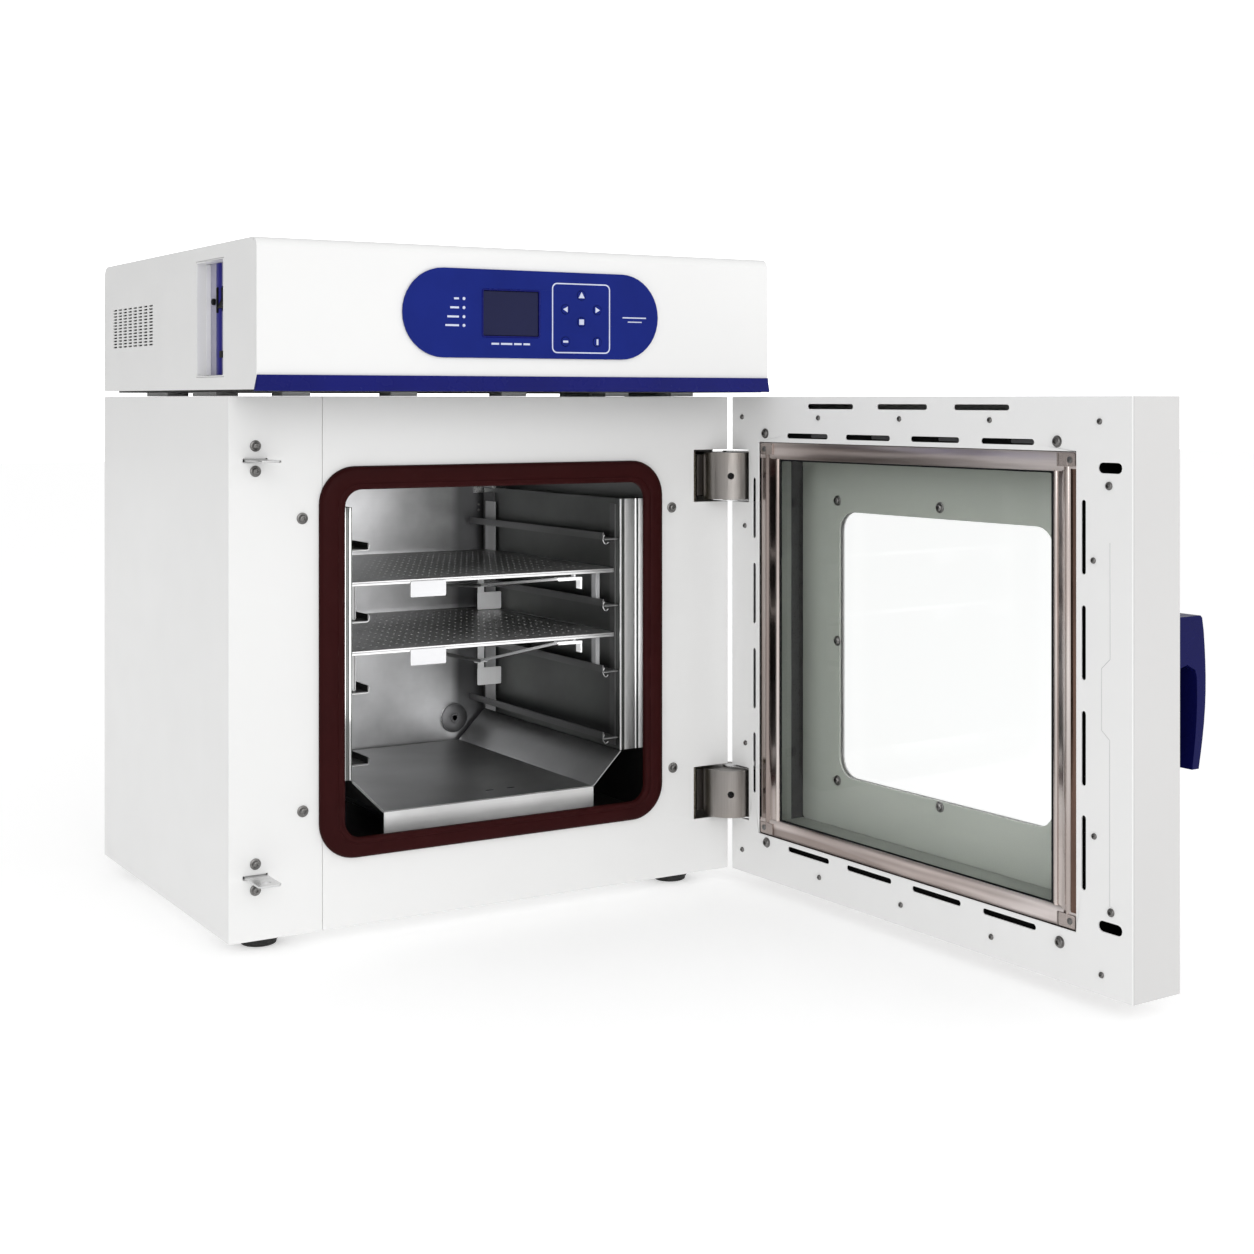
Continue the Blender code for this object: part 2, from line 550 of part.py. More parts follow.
def make_heater():
    """A serpentine sheathed element lying in the space under the floor."""
    curve = bpy.data.curves.new("heater_element", "CURVE")
    curve.dimensions = "3D"
    curve.bevel_depth = 3.5 * MM
    curve.bevel_resolution = 2
    curve.use_fill_caps = True
    spline = curve.splines.new("POLY")
    z = drop(GUIDE_FLOOR + 17)
    runs, front, back = (190, 235, 280, 325, 370), 75, 290
    route = []
    for index, x in enumerate(runs):
        ends = (back, front) if index % 2 == 0 else (front, back)
        first = LINER_BACK - THIN - GAP if index == 0 else ends[0]
        last = LINER_BACK - THIN - GAP if index == len(runs) - 1 else ends[1]
        route += [(x, first), (x, last)] if index in (0, len(runs) - 1) else [(x, ends[0]),
                                                                              (x, ends[1])]
        if index < len(runs) - 1:
            middle = (x + runs[index + 1]) / 2
            swing = -1 if ends[1] == front else 1
            reach = (runs[index + 1] - x) / 2
            for angle in (30, 60, 90, 120, 150):
                turn = math.radians(angle)
                route.append((middle - reach * math.cos(turn),
                              ends[1] + swing * reach * math.sin(turn)))
    spline.points.add(len(route) - 1)
    for point, (x, y) in zip(spline.points, route):
        point.co = (x * MM, y * MM, z * MM, 1)
    place("heater_element", curve, STEEL)


def make_fan():
    z = drop(FAN_DROP)
    motor = rod("fan_motor", (22, FAN_Y, z), (84, FAN_Y, z), 34, STEEL)
    flange = box("fan_motor_flange", (83, FAN_Y - 26, z - 26), (86, FAN_Y + 26, z + 26))
    join(motor, flange)

    pivot = empty("fan_spin", (FAN_LEFT, FAN_Y, z), ROOT)
    blades, inner = 14, 30
    outline = []
    for blade in range(blades):
        for share, radius in ((0.0, inner), (0.28, FAN_RADIUS), (0.42, FAN_RADIUS), (0.34, inner)):
            turn = 2 * math.pi * (blade + share) / blades
            outline.append((FAN_Y + radius * math.cos(turn), z + radius * math.sin(turn)))
    wheel = as_mesh(plate("fan_wheel", [outline], "side", FAN_LEFT, FAN_RIGHT, STEEL, pivot))
    shaft = rod("fan_shaft", (86.5, FAN_Y, z), (FAN_RIGHT + 2, FAN_Y, z), 4, STEEL, pivot, 16)
    join(wheel, shaft)


def make_vent():
    z = drop(VENT_DROP)
    rear = DEPTH + 3
    inner_wall = LINER_BACK - THIN - GAP
    tube = rod("vent_tube", (VENT_X, inner_wall - 1, z), (VENT_X, rear, z), VENT_TUBE, STEEL)
    flange = rod("vent_flange", (VENT_X, inner_wall - 3, z), (VENT_X, inner_wall, z), VENT_FLANGE,
                 sides=32)
    bore = rod("vent_bore", (VENT_X, inner_wall - 20, z), (VENT_X, rear + 20, z), VENT_BORE, sides=16)
    join(tube, flange)
    cut(tube, bore)

    pivot = empty("vent_damper_turn", (VENT_X, rear, z), ROOT)
    knob = rod("vent_damper", (VENT_X, rear + GAP, z), (VENT_X, rear + 8, z), 18, BLACK, pivot)
    port = rod("vent_damper_port", (VENT_X + 2, rear - 10, z), (VENT_X + 2, rear + 20, z), VENT_BORE,
               STEEL, pivot, 12)
    cut(knob, port)

    probe_x, probe_z = 425, drop(104)
    probe = rod("temperature_probe", (probe_x, inner_wall - 42, probe_z),
                (probe_x, inner_wall, probe_z), 2.5, STEEL, sides=12)
    base = box("probe_base", (probe_x - 6, inner_wall - 2.5, probe_z - 9),
               (probe_x + 6, inner_wall - 0.2, probe_z + 9))
    join(probe, base)


# ---- hinges ----------------------------------------------------------------------------------------


def door_point(u, n):
    """A place of the shut door: u from the hinge axis to the free edge, n out from the inner face."""
    return HINGE_X - u, -DOOR_GAP - n


def make_hinges(door):
    """Each barrel is fixed to the cabinet; the leaf's pin turns in it and two arms reach the door."""
    for place_name, down in HINGE_DROPS.items():
        z = drop(down)
        half = BARREL_HEIGHT / 2
        barrel = rod(f"hinge_barrel_{place_name}", (HINGE_X, HINGE_Y, z - half),
                     (HINGE_X, HINGE_Y, z + half),
                     BARREL_RADIUS, STEEL, sides=40)
        arm = box(f"barrel_arm_{place_name}", (520, 14, z - half + 3), (546, 36, z + half - 3))
        flange = box(f"barrel_flange_{place_name}", (542, 30, z - half + 1),
                     (WIDTH - SHEET - GAP, 90, z + half - 1))
        bore = rod(f"barrel_bore_{place_name}", (HINGE_X, HINGE_Y, z - half - 10),
                   (HINGE_X, HINGE_Y, z + half + 10), PIN_RADIUS + PIN_CLEARANCE)
        toward = Vector((-0.50, -0.866, 0))
        axis = Vector((HINGE_X, HINGE_Y, z))
        grub = rod(f"barrel_grub_{place_name}", axis + toward * 17, axis + toward * 40, 3.6, sides=16)
        join(barrel, arm, flange)
        cut(barrel, bore, grub)

        name = f"hinge_leaf_{place_name}"
        reach = half + GAP + 1.5
        leaf = rod(name, (HINGE_X, HINGE_Y, z - reach), (HINGE_X, HINGE_Y, z + reach), PIN_RADIUS,
                   STEEL, door)
        near, _ = door_point(36, 0)
        far, _ = door_point(32.5, 0)
        web = box(f"{name}_web", (near, -DOOR_GAP - 30, z - reach), (far, -DOOR_GAP - 2, z + reach),
                  STEEL, door)
        arms = []
        for end, low in (("top", z + half + GAP), ("bottom", z - reach)):
            tip = [(HINGE_X + 6, HINGE_Y - 6), (HINGE_X + 6, HINGE_Y + 4), (HINGE_X - 4, HINGE_Y + 6)]
            inner = [(near + 0.5, -DOOR_GAP - 2.2), (near + 0.5, -DOOR_GAP - 18)]
            outline = tip + [(HINGE_X - 27, -DOOR_GAP - 2.2)] + inner
            arms.append(as_mesh(plate(f"{name}_arm_{end}", [outline], "top", low + 0.02, low + 1.48,
                                      STEEL, door)))
        join(leaf, web, *arms)


# ---- door ------------------------------------------------------------------------------------------


def slot(centre_u, down, length, across, upright=False):
    """A round-ended slot of the inner panel, centred at u and that far below the door's top."""
    x, _ = door_point(centre_u, 0)
    half_x, half_z = (across / 2, length / 2) if upright else (length / 2, across / 2)
    z = drop(down)
    return rounded(x - half_x, x + half_x, z - half_z, z + half_z, across / 2 - 0.01, steps=3)


def make_door_panel(door):
    """The painted inner face: window opening, latch slots, and slots that stop heat crossing it."""
    left, _ = door_point(DOOR_WIDTH, 0)
    right, _ = door_point(DOOR_EDGE, 0)
    half = CUTOUT_HEIGHT / 2
    inset = right - CUTOUT_DOOR
    outline = [(left, BOTTOM), (right, BOTTOM)]
    for down in sorted(HINGE_DROPS.values(), reverse=True):
        low, high = drop(down) - half, drop(down) + half
        outline += [(right, low), (inset, low), (inset, high), (right, high)]
    outline += [(right, TOP), (left, TOP)]
    window = rounded(door_point(PANEL_RIGHT, 0)[0], door_point(PANEL_LEFT, 0)[0],
                     drop(PANEL_BOTTOM), drop(PANEL_TOP), 0)
    holes = [window]
    for down in TONGUE_DROPS.values():
        holes.append(slot(HINGE_X - TONGUE_X, down + 1, LATCH_SLOT_LENGTH, LATCH_SLOT_WIDTH))
    for u in TOP_SLOTS_U:
        holes.append(slot(u, TOP_SLOT_DROP, TOP_SLOT_LENGTH, ROW_SLOT_WIDTH))
    for u in ROW_SLOTS_U:
        holes.append(slot(u, UPPER_ROW_DROP, ROW_SLOT_LENGTH, ROW_SLOT_WIDTH))
        holes.append(slot(u + LOWER_ROW_SHIFT, LOWER_ROW_DROP, ROW_SLOT_LENGTH, ROW_SLOT_WIDTH))
    for down in SIDE_SLOT_DROPS:
        holes.append(slot(HINGE_SLOTS_U, down, SIDE_SLOT_LENGTH, SIDE_SLOT_WIDTH, upright=True))
        lower = down + FREE_SLOT_SHIFT
        holes.append(slot(FREE_SLOTS_U, lower, SIDE_SLOT_LENGTH, SIDE_SLOT_WIDTH, upright=True))
    y = -DOOR_GAP
    plate("door_inner_panel", [outline] + holes, "front", y - SHEET, y, WHITE, door)


def make_door_shell(door):
    left, _ = door_point(DOOR_WIDTH, 0)
    right, _ = door_point(DOOR_EDGE, 0)
    mouth = -DOOR_GAP - SHEET - GAP
    outline = rounded(left, right, BOTTOM, TOP, 0)
    shell = open_tray("door_shell", outline, mouth, DOOR_FRONT, SHEET, WHITE, door)
    window_left, _ = door_point(WINDOW_RIGHT, 0)
    window_right, _ = door_point(WINDOW_LEFT, 0)
    window = rounded(window_left, window_right, drop(WINDOW_BOTTOM), drop(WINDOW_TOP), WINDOW_RADIUS)
    opening = as_mesh(plate("shell_window", [window], "front", DOOR_FRONT - 10, DOOR_FRONT + 10,
                            STEEL, door))
    half = CUTOUT_HEIGHT / 2
    tools = [opening]
    for place_name, down in HINGE_DROPS.items():
        tools.append(box(f"shell_hinge_{place_name}",
                         (right - 10, -DOOR_GAP - CUTOUT_DOOR, drop(down) - half),
                         (right + 10, 10, drop(down) + half), STEEL, door))
    lever_x = HINGE_X - LEVER_U
    tools.append(box("shell_lever_slot", (lever_x - 5, DOOR_FRONT - 10, drop(PIVOT_DROP + 10)),
                     (lever_x + 5, DOOR_FRONT + 10, drop(PIVOT_DROP - 3)), STEEL, door))
    cut(shell, *tools)
    pivot_y = -DOOR_GAP - PIVOT_N
    lugs = []
    for side in (-1, 1):
        x = lever_x + side * 8.5
        lug = box(f"handle_lug_{side}", (x - 2, pivot_y - 4.5, drop(PIVOT_DROP + 4.5)),
                  (x + 2, DOOR_FRONT + 0.8, drop(PIVOT_DROP - 4.5)), STEEL, door)
        lugs.append(lug)
    bore = rod("lug_bore", (lever_x - 30, pivot_y, drop(PIVOT_DROP)),
               (lever_x + 30, pivot_y, drop(PIVOT_DROP)),
               2.4, STEEL, door, 16)
    join(shell, *lugs)
    cut(shell, bore)


def make_window(door):
    """Stainless frame and inner pane behind the panel's opening, clamp plate and outer pane behind
    the skin, mineral wool round the space between."""
    left, right = door_point(PANEL_RIGHT, 0)[0], door_point(PANEL_LEFT, 0)[0]
    low, high = drop(PANEL_BOTTOM), drop(PANEL_TOP)
    y = -DOOR_GAP
    outer = rounded(left - 4, right + 4, low - 4, high + 4, 0)
    inner = rounded(left + FRAME_SIDE, right - FRAME_SIDE, low + FRAME_RAIL, high - FRAME_RAIL, 0)
    plate("window_frame", [outer, inner], "front", y - 5, y - SHEET - GAP, STEEL, door)
    pane = rounded(left + FRAME_SIDE - 10, right - FRAME_SIDE + 10, low + FRAME_RAIL - 8,
                   high - FRAME_RAIL + 8, 3, 3)
    plate("inner_glass", [pane], "front", y - 9.3, y - 5.3, GLASS, door)

    cavity = (left + CAVITY_SIDE, right - CAVITY_SIDE, low + CAVITY_SIDE, high - CAVITY_SIDE)
    wool_outer = rounded(door_point(500, 0)[0], door_point(38, 0)[0], drop(484), drop(16), 0)
    wool_inner = rounded(cavity[0], cavity[1], cavity[2], cavity[3], 0)
    plate("door_insulation", [wool_outer, wool_inner], "front", DOOR_FRONT + 2, y - 10, WOOL, door)

    opening = rounded(door_point(WINDOW_RIGHT, 0)[0], door_point(WINDOW_LEFT, 0)[0],
                      drop(WINDOW_BOTTOM),
                      drop(WINDOW_TOP), WINDOW_RADIUS)
    clamp = rounded(cavity[0] + 1, cavity[1] - 1, cavity[2] + 1, cavity[3] - 1, 4, 3)
    skin = DOOR_FRONT + SHEET + GAP
    plate("glass_clamp", [clamp, opening], "front", skin + 4 + GAP, skin + 6.5 + GAP, WHITE, door)
    outer_pane = rounded(door_point(WINDOW_RIGHT + 20, 0)[0], door_point(WINDOW_LEFT - 20, 0)[0],
                         drop(WINDOW_BOTTOM + 18), drop(WINDOW_TOP - 18), 6, 3)
    plate("outer_glass", [outer_pane], "front", skin, skin + 4, GLASS, door)


def make_latch(door):
    """Pulling the handle's lower end out tips its inner lever down, and the lever draws the rod and
    its two pins down out of the tongues."""
    lever_x = HINGE_X - LEVER_U
    rod_y = -DOOR_GAP - ROD_N
    pin_y = -PIN_HOLE_REACH
    slide = empty("latch_slide", (lever_x, rod_y, drop(250)), door)
    slide.location -= door.location
    bar = box("latch_rod", (lever_x - ROD_WIDTH / 2, rod_y - ROD_THICK / 2, drop(466)),
              (lever_x + ROD_WIDTH / 2, rod_y + ROD_THICK / 2, drop(70)), STEEL, slide)
    window = box("rod_window", (lever_x - 4, rod_y - 10, drop(PIVOT_DROP) - 3.2),
                 (lever_x + 4, rod_y + 10, drop(PIVOT_DROP) + 3.2), STEEL, slide)
    pieces = []
    for place_name, down in TONGUE_DROPS.items():
        z = drop(down) - 11
        pieces.append(box(f"finger_{place_name}", (lever_x - 4, rod_y - 1, z - 3),
                          (lever_x + 4, pin_y + 4, z),
                          STEEL, slide))
        pieces.append(rod(f"pin_{place_name}", (lever_x, pin_y, z - 2),
                          (lever_x, pin_y, drop(down) + 1),
                          LATCH_PIN_RADIUS, STEEL, slide, 12))
        pieces.append(rod(f"pin_tip_{place_name}", (lever_x, pin_y, drop(down) + 0.9),
                          (lever_x, pin_y, drop(down) + 4), LATCH_PIN_RADIUS, STEEL, slide, 12, 1.2))
    join(bar, *pieces)
    cut(bar, window)

    pivot_y = -DOOR_GAP - PIVOT_N
    tilt = empty("handle_tilt", (lever_x, pivot_y, drop(PIVOT_DROP)), door)
    tilt.location -= door.location
    face = DOOR_FRONT - 1
    left, right = door_point(HANDLE_RIGHT, 0)[0], door_point(HANDLE_LEFT, 0)[0]
    top, bottom = drop(HANDLE_TOP), drop(HANDLE_BOTTOM)
    scoop_top = drop(SCOOP_TOP)
    steps = 10
    front, inside = [], []
    for step in range(steps + 1):
        share = step / steps
        bulge = HANDLE_BULGE * math.sin(math.pi * min(1, share * 0.9 + 0.1))
        bulge -= 10 * max(0, share - 0.45) ** 2
        y, z = DOOR_FRONT - HANDLE_DEPTH - bulge, top + (bottom - top) * share
        front.append((y, z))
        if z < scoop_top - 8:
            inside.append((y + 13.5 - 5 * share, z))
    profile = [(face - 3, top), (front[0][0] + 2.5, top), (front[0][0] + 0.4, top - 2)] + front[1:]
    profile += [(face, bottom), (face, top - 6)]
    handle = as_mesh(plate("handle", [profile], "side", left, right, BLUE, tilt))
    scoop = [(face - 4, bottom - 5), (face - 4, scoop_top - 10), (face - 10, scoop_top - 3),
             (face - 21, scoop_top), (face - 31, scoop_top - 5)]
    scoop += inside + [(inside[-1][0], bottom - 5)]
    pocket = as_mesh(plate("handle_scoop", [scoop], "side", left - 10, right - 12, STEEL, tilt))
    lug_room = box("handle_lug_room", (lever_x - 11.5, pivot_y - 8, drop(PIVOT_DROP + 9)),
                   (lever_x + 11.5, face + 10, drop(PIVOT_DROP - 7)), STEEL, tilt)
    cut(handle, pocket, lug_room)
    axle = rod("handle_axle", (lever_x - 12.7, pivot_y, drop(PIVOT_DROP)),
               (lever_x + 12.7, pivot_y, drop(PIVOT_DROP)), 2, STEEL, tilt, 16)
    lever = box("handle_lever", (lever_x - 3, pivot_y, drop(PIVOT_DROP) - 2),
                (lever_x + 3, rod_y + 4, drop(PIVOT_DROP) + 2), STEEL, tilt)
    join(handle, axle, lever)


def make_door():
    door = empty("door_pivot", (HINGE_X, HINGE_Y, 0), ROOT)
    make_door_panel(door)
    make_door_shell(door)
    make_window(door)
    make_latch(door)
    make_hinges(door)
    return door


# ---- control housing -------------------------------------------------------------------------------


def bend(centre_y, centre_z, radius, first, last, steps=6):
    """Points of an arc in the y, z plane between two angles in degrees."""
    points = []
    for step in range(steps + 1):
        angle = math.radians(first + (last - first) * step / steps)
        points.append((centre_y + radius * math.cos(angle), centre_z + radius * math.sin(angle)))
    return points


def make_vent_cutter():
    """Short horizontal slots in rows and columns through the cover's left wall."""
    pitch_y = (VENT_BACK - VENT_FRONT) / VENT_COLUMNS
    pitch_z = (VENT_HIGH - VENT_LOW) / (VENT_ROWS - 1)

    def build(body):
        for column in range(VENT_COLUMNS):
            for row in range(VENT_ROWS):
                y = VENT_FRONT + pitch_y * (column + 0.5)
                z = TOP + VENT_LOW + pitch_z * row
                size = Matrix.Diagonal((10, VENT_SLOT_LENGTH, VENT_SLOT_HEIGHT, 1))
                bmesh.ops.create_cube(body, size=1, matrix=Matrix.Translation((0, y, z)) @ size)

    return place("vent_slots", mesh_of(build), STEEL)


def make_fascia():
    """The housing's front: a sheet bent back into the top, with the opening behind the overlay."""
    low, bend_y, bend_z = HOUSING_LOW, HOUSING_FRONT + FRONT_BEND, HOUSING_HIGH - FRONT_BEND
    outside = bend(bend_y, bend_z, FRONT_BEND, 90, 180)
    inside = bend(bend_y, bend_z, FRONT_BEND - FASCIA_THICK, 180, 90)
    section = outside + [(HOUSING_FRONT, low), (HOUSING_FRONT + FASCIA_THICK, low)] + inside
    fascia = as_mesh(plate("fascia", [section], "side", 0, WIDTH, WHITE))
    opening = rounded(OVERLAY_LEFT + 6, OVERLAY_RIGHT - 6, TOP + OVERLAY_LOW + 6,
                      TOP + OVERLAY_HIGH - 6, 35)
    tool = as_mesh(plate("fascia_opening", [opening], "front", HOUSING_FRONT - 5, HOUSING_FRONT + 5))
    cut(fascia, tool)


def make_cover():
    """The housing's flat sides, its top and its rear, folded over at the rear in a round edge."""
    low, high = HOUSING_LOW, HOUSING_HIGH
    step = FASCIA_THICK + GAP
    front_y, bend_y = HOUSING_FRONT + step, HOUSING_FRONT + FRONT_BEND
    outline = [(front_y, low), (DEPTH, low)]
    outline += bend(DEPTH - REAR_BEND, high - REAR_BEND, REAR_BEND, 0, 90)
    outline += [(bend_y + GAP, high), (bend_y + GAP, high - step)]
    outline += bend(bend_y, high - FRONT_BEND, FRONT_BEND - step, 90, 180)
    cover = as_mesh(plate("housing_cover", [outline], "side", 0, WIDTH, WHITE))

    hollow = [(HOUSING_FRONT - 10, low - 10), (DEPTH - SHEET, low - 10)]
    hollow += bend(DEPTH - REAR_BEND, high - REAR_BEND, REAR_BEND - SHEET, 0, 90)
    hollow += [(HOUSING_FRONT - 10, high - SHEET)]
    inside = as_mesh(plate("cover_hollow", [hollow], "side", SHEET, WIDTH - SHEET))
    reach = 1.8
    opening = box("pocket_opening", (-10, POCKET_FRONT - reach, TOP + POCKET_LOW - reach),
                  (10, POCKET_BACK + reach, TOP + POCKET_HIGH + reach))
    inlet = box("inlet_hole", (INLET_LEFT, DEPTH - 10, TOP + INLET_LOW),
                (INLET_RIGHT, DEPTH + 10, TOP + INLET_HIGH))
    cut(cover, inside, opening, inlet, make_vent_cutter())


def make_base():
    """The housing's floor on the spacers that hold it off the cabinet."""
    low, top = HOUSING_LOW, TOP + GAP
    near, far = SHEET + GAP, WIDTH - SHEET - GAP
    outline = rounded(near, far, HOUSING_FRONT + FASCIA_THICK + GAP, DEPTH - SHEET - GAP, 0)
    base = as_mesh(plate("housing_base", [outline], "top", low, low + SHEET, GREY))
    spacers = []
    for x in FRONT_SPACERS_X:
        spacers.append(box(f"spacer_{x}", (x - 14, 12, top), (x + 14, 40, low + 0.5)))
    for left, right in ((near + 14, near + 36), (far - 36, far - 14)):
        for start, end in SIDE_SPACERS_Y:
            spacers.append(box(f"spacer_{left}_{start}", (left, start, top), (right, end, low + 0.5)))
    join(base, *spacers)


def make_trim_strip():
    """A flared moulding along the foot of the fascia."""
    front = HOUSING_FRONT - GAP
    low, high = TOP + 4.5, TOP + 19
    section = [
        (front, high), (front - 2, high), (front - 2.6, high - 5), (front - 4, low + 4),
        (front - 5, low + 1), (front - 4, low), (front, low),
    ]
    plate("trim_strip", [section], "side", 0, WIDTH - 1, BLUE)


def make_housing():
    make_cover()
    make_fascia()
    make_base()
    make_trim_strip()
    box("power_supply", (300, 120, HOUSING_LOW + SHEET + GAP), (430, 230, HOUSING_LOW + 70), STEEL)

    low, high = TOP + INLET_LOW, TOP + INLET_HIGH
    left, right = INLET_LEFT, INLET_RIGHT
    inlet = box("power_inlet", (left + 0.5, DEPTH - 18, low + 0.5),
                (right - 0.5, DEPTH + 3, high - 0.5), BLACK)
    lip = box("inlet_lip", (left - 3, DEPTH + GAP, low - 3), (right + 3, DEPTH + 2.4, high + 3))
    recess = box("inlet_recess", (left + 8, DEPTH - 12, low + 5), (right - 8, DEPTH + 20, high - 5))
    join(inlet, lip)
    cut(inlet, recess)


def make_controls():
    front = HOUSING_FRONT - GAP
    middle = (OVERLAY_HIGH - OVERLAY_LOW) / 2
    outline = rounded(OVERLAY_LEFT, OVERLAY_RIGHT, TOP + OVERLAY_LOW, TOP + OVERLAY_HIGH,
                      middle - 0.01, steps=10)
    holes = [rounded(LCD_LEFT - 1, LCD_RIGHT + 1, TOP + LCD_LOW - 1, TOP + LCD_HIGH + 1, 0)]
    for x, z in BUTTONS.values():
        holes.append(circle(x, TOP + z, BUTTON_RADIUS + 0.4, 20))
    plate("control_overlay", [outline] + holes, "front", front - 2, front, BLUE)
    lcd = box("lcd_module", (LCD_LEFT, front - 1.2, TOP + LCD_LOW),
              (LCD_RIGHT, front + 5, TOP + LCD_HIGH), BLACK)
    lcd_frame = box("lcd_frame", (LCD_LEFT - 4, HOUSING_FRONT + 2.5, TOP + LCD_LOW - 5),
                    (LCD_RIGHT + 4, HOUSING_FRONT + 9, TOP + LCD_HIGH + 5))
    join(lcd, lcd_frame)
    for name, (x, z) in BUTTONS.items():
        pivot = empty(f"{name}_press", (x, front, TOP + z), ROOT)
        cap = rod(name, (x, front + 5.5, TOP + z), (x, front - 2.4, TOP + z), BUTTON_RADIUS, BLUE,
                  pivot, 20)
        skirt = rod(f"{name}_skirt", (x, front + 6, TOP + z), (x, front + 3.5, TOP + z),
                    BUTTON_RADIUS + 1.2,
                    BLUE, pivot, 20)
        join(cap, skirt)
    board_front = HOUSING_FRONT + 12
    box("control_board", (190, board_front, TOP + 38), (390, board_front + 1.6, TOP + 116), BOARD)


def make_side_pocket():
    """The recess in the housing's left side: a light tray round a blue plate with the main switch."""
    wall = 1.5
    outer = rounded(POCKET_FRONT - wall, POCKET_BACK + wall, TOP + POCKET_LOW - wall,
                    TOP + POCKET_HIGH + wall, 3, 3)
    inner = rounded(POCKET_FRONT, POCKET_BACK, TOP + POCKET_LOW, TOP + POCKET_HIGH, 2, 3)
    plate("side_pocket", [outer, inner], "side", 0, POCKET_DEPTH, GREY)
    half_y, half_z = SWITCH_WIDTH / 2 + 0.6, SWITCH_HEIGHT / 2 + 0.6
    z = TOP + SWITCH_Z
    hole = rounded(SWITCH_Y - half_y, SWITCH_Y + half_y, z - half_z, z + half_z, 0)
    face = POCKET_DEPTH + GAP
    plate("switch_panel", [outer, hole], "side", face, face + 2, BLUE)
    pivot = empty("power_switch_rock", (face + 1, SWITCH_Y, z), ROOT)
    rocker = [(face + 4, z - 9.4), (face - 2.2, z - 9.8), (face - 0.6, z), (face - 2.2, z + 9.8),
              (face + 4, z + 9.4)]
    plate("power_switch", [rocker], "front", SWITCH_Y - SWITCH_WIDTH / 2, SWITCH_Y + SWITCH_WIDTH / 2,
          BLACK, pivot)
    pivot.rotation_euler.y = math.radians(SWITCH_TILT)


# ---- whole -----------------------------------------------------------------------------------------


def centre_on_floor():
    """Moves the root so that the whole oven, door open, is centred on the world's z axis."""
    bpy.context.view_layer.update()
    graph = bpy.context.evaluated_depsgraph_get()
    corners = []
    for obj in PARTS.objects:
        if obj.type not in ("MESH", "CURVE"):
            continue
        seen = obj.evaluated_get(graph)
        mesh = seen.to_mesh()
        corners += [seen.matrix_world @ vertex.co for vertex in mesh.vertices]
        seen.to_mesh_clear()
    for axis in (0, 1):
        values = [corner[axis] for corner in corners]
        ROOT.location[axis] -= (min(values) + max(values)) / 2


make_cabinet()
make_gasket()
make_strikes()
make_liner()
make_insulation()
make_air_guides()
make_racks()
for shelf_name, shelf_drop in SHELF_DROPS.items():
    make_shelf(shelf_name, shelf_drop)
make_heater()
make_fan()
make_vent()
DOOR = make_door()
make_housing()
make_controls()
make_side_pocket()
DOOR.rotation_euler.z = math.radians(DOOR_OPEN)
centre_on_floor()
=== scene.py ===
"""Looks of the bench-top drying oven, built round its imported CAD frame.

Shapes are drawn in millimetres in the cabinet's own frame: x from its left side to its right, y
from its front face to its back, z up from the floor. Door pieces are drawn with the door shut and
swung open to its place at rest.
"""

import json
import math

import bmesh
import bpy
from mathutils import Matrix, Vector


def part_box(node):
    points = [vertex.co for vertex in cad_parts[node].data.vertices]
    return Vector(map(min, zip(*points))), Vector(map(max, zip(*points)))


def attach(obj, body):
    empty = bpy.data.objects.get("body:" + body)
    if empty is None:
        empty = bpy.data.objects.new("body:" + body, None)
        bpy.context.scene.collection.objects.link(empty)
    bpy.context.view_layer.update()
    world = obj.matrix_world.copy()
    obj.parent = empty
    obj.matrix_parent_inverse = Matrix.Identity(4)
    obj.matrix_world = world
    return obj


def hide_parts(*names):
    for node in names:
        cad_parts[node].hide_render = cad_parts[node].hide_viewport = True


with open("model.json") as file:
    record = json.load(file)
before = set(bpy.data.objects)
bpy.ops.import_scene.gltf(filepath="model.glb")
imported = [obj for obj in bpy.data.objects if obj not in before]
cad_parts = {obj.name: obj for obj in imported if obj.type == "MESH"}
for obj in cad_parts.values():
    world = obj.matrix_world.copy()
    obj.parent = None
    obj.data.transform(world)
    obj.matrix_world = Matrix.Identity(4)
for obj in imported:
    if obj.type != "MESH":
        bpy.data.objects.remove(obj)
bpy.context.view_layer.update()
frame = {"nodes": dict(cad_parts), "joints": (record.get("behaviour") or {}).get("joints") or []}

MM = 0.001
OUTWARD, INWARD = (0, -1, 0), (0, 1, 0)     # out of the cabinet's front, and into it
JOINTS = {joint["name"]: joint for joint in frame["joints"]}

# Where the cabinet stands, and how its pieces are laid out
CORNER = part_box("left_side_panel")[0]
CABINET = Matrix.Translation((CORNER.x, CORNER.y, 0)) @ Matrix.Diagonal((MM, MM, MM, 1))
INTO_CABINET = CABINET.inverted()


def cad_box(node):
    """A CAD node's lowest and highest corners in the cabinet's millimetres."""
    low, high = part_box(node)
    return INTO_CABINET @ low, INTO_CABINET @ high


TOP = cad_box("cabinet_top")[1].z
WIDTH = cad_box("right_side_panel")[1].x
DEPTH = cad_box("rear_panel")[1].y

HINGE = INTO_CABINET @ Vector(JOINTS["door_hinge"]["pos_m"])
SHUT = math.radians(JOINTS["door_hinge"]["range_deg"][0])
SWING = (
    Matrix.Translation((HINGE.x, HINGE.y, 0))
    @ Matrix.Rotation(-SHUT, 4, "Z")
    @ Matrix.Translation((-HINGE.x, -HINGE.y, 0))
)
DOOR = CABINET @ SWING
DOOR_INNER = 2 * HINGE.y    # the shut door's inner face


def drop(distance):
    """The height of a place that lies this far below the cabinet's top."""
    return TOP - distance


MOUTH = (112.4, 443.6, drop(416.4), drop(88.0))     # inner edge of the seal: left, right, low, high
MOUTH_RADIUS, SEAL_RADIUS = 17, 36


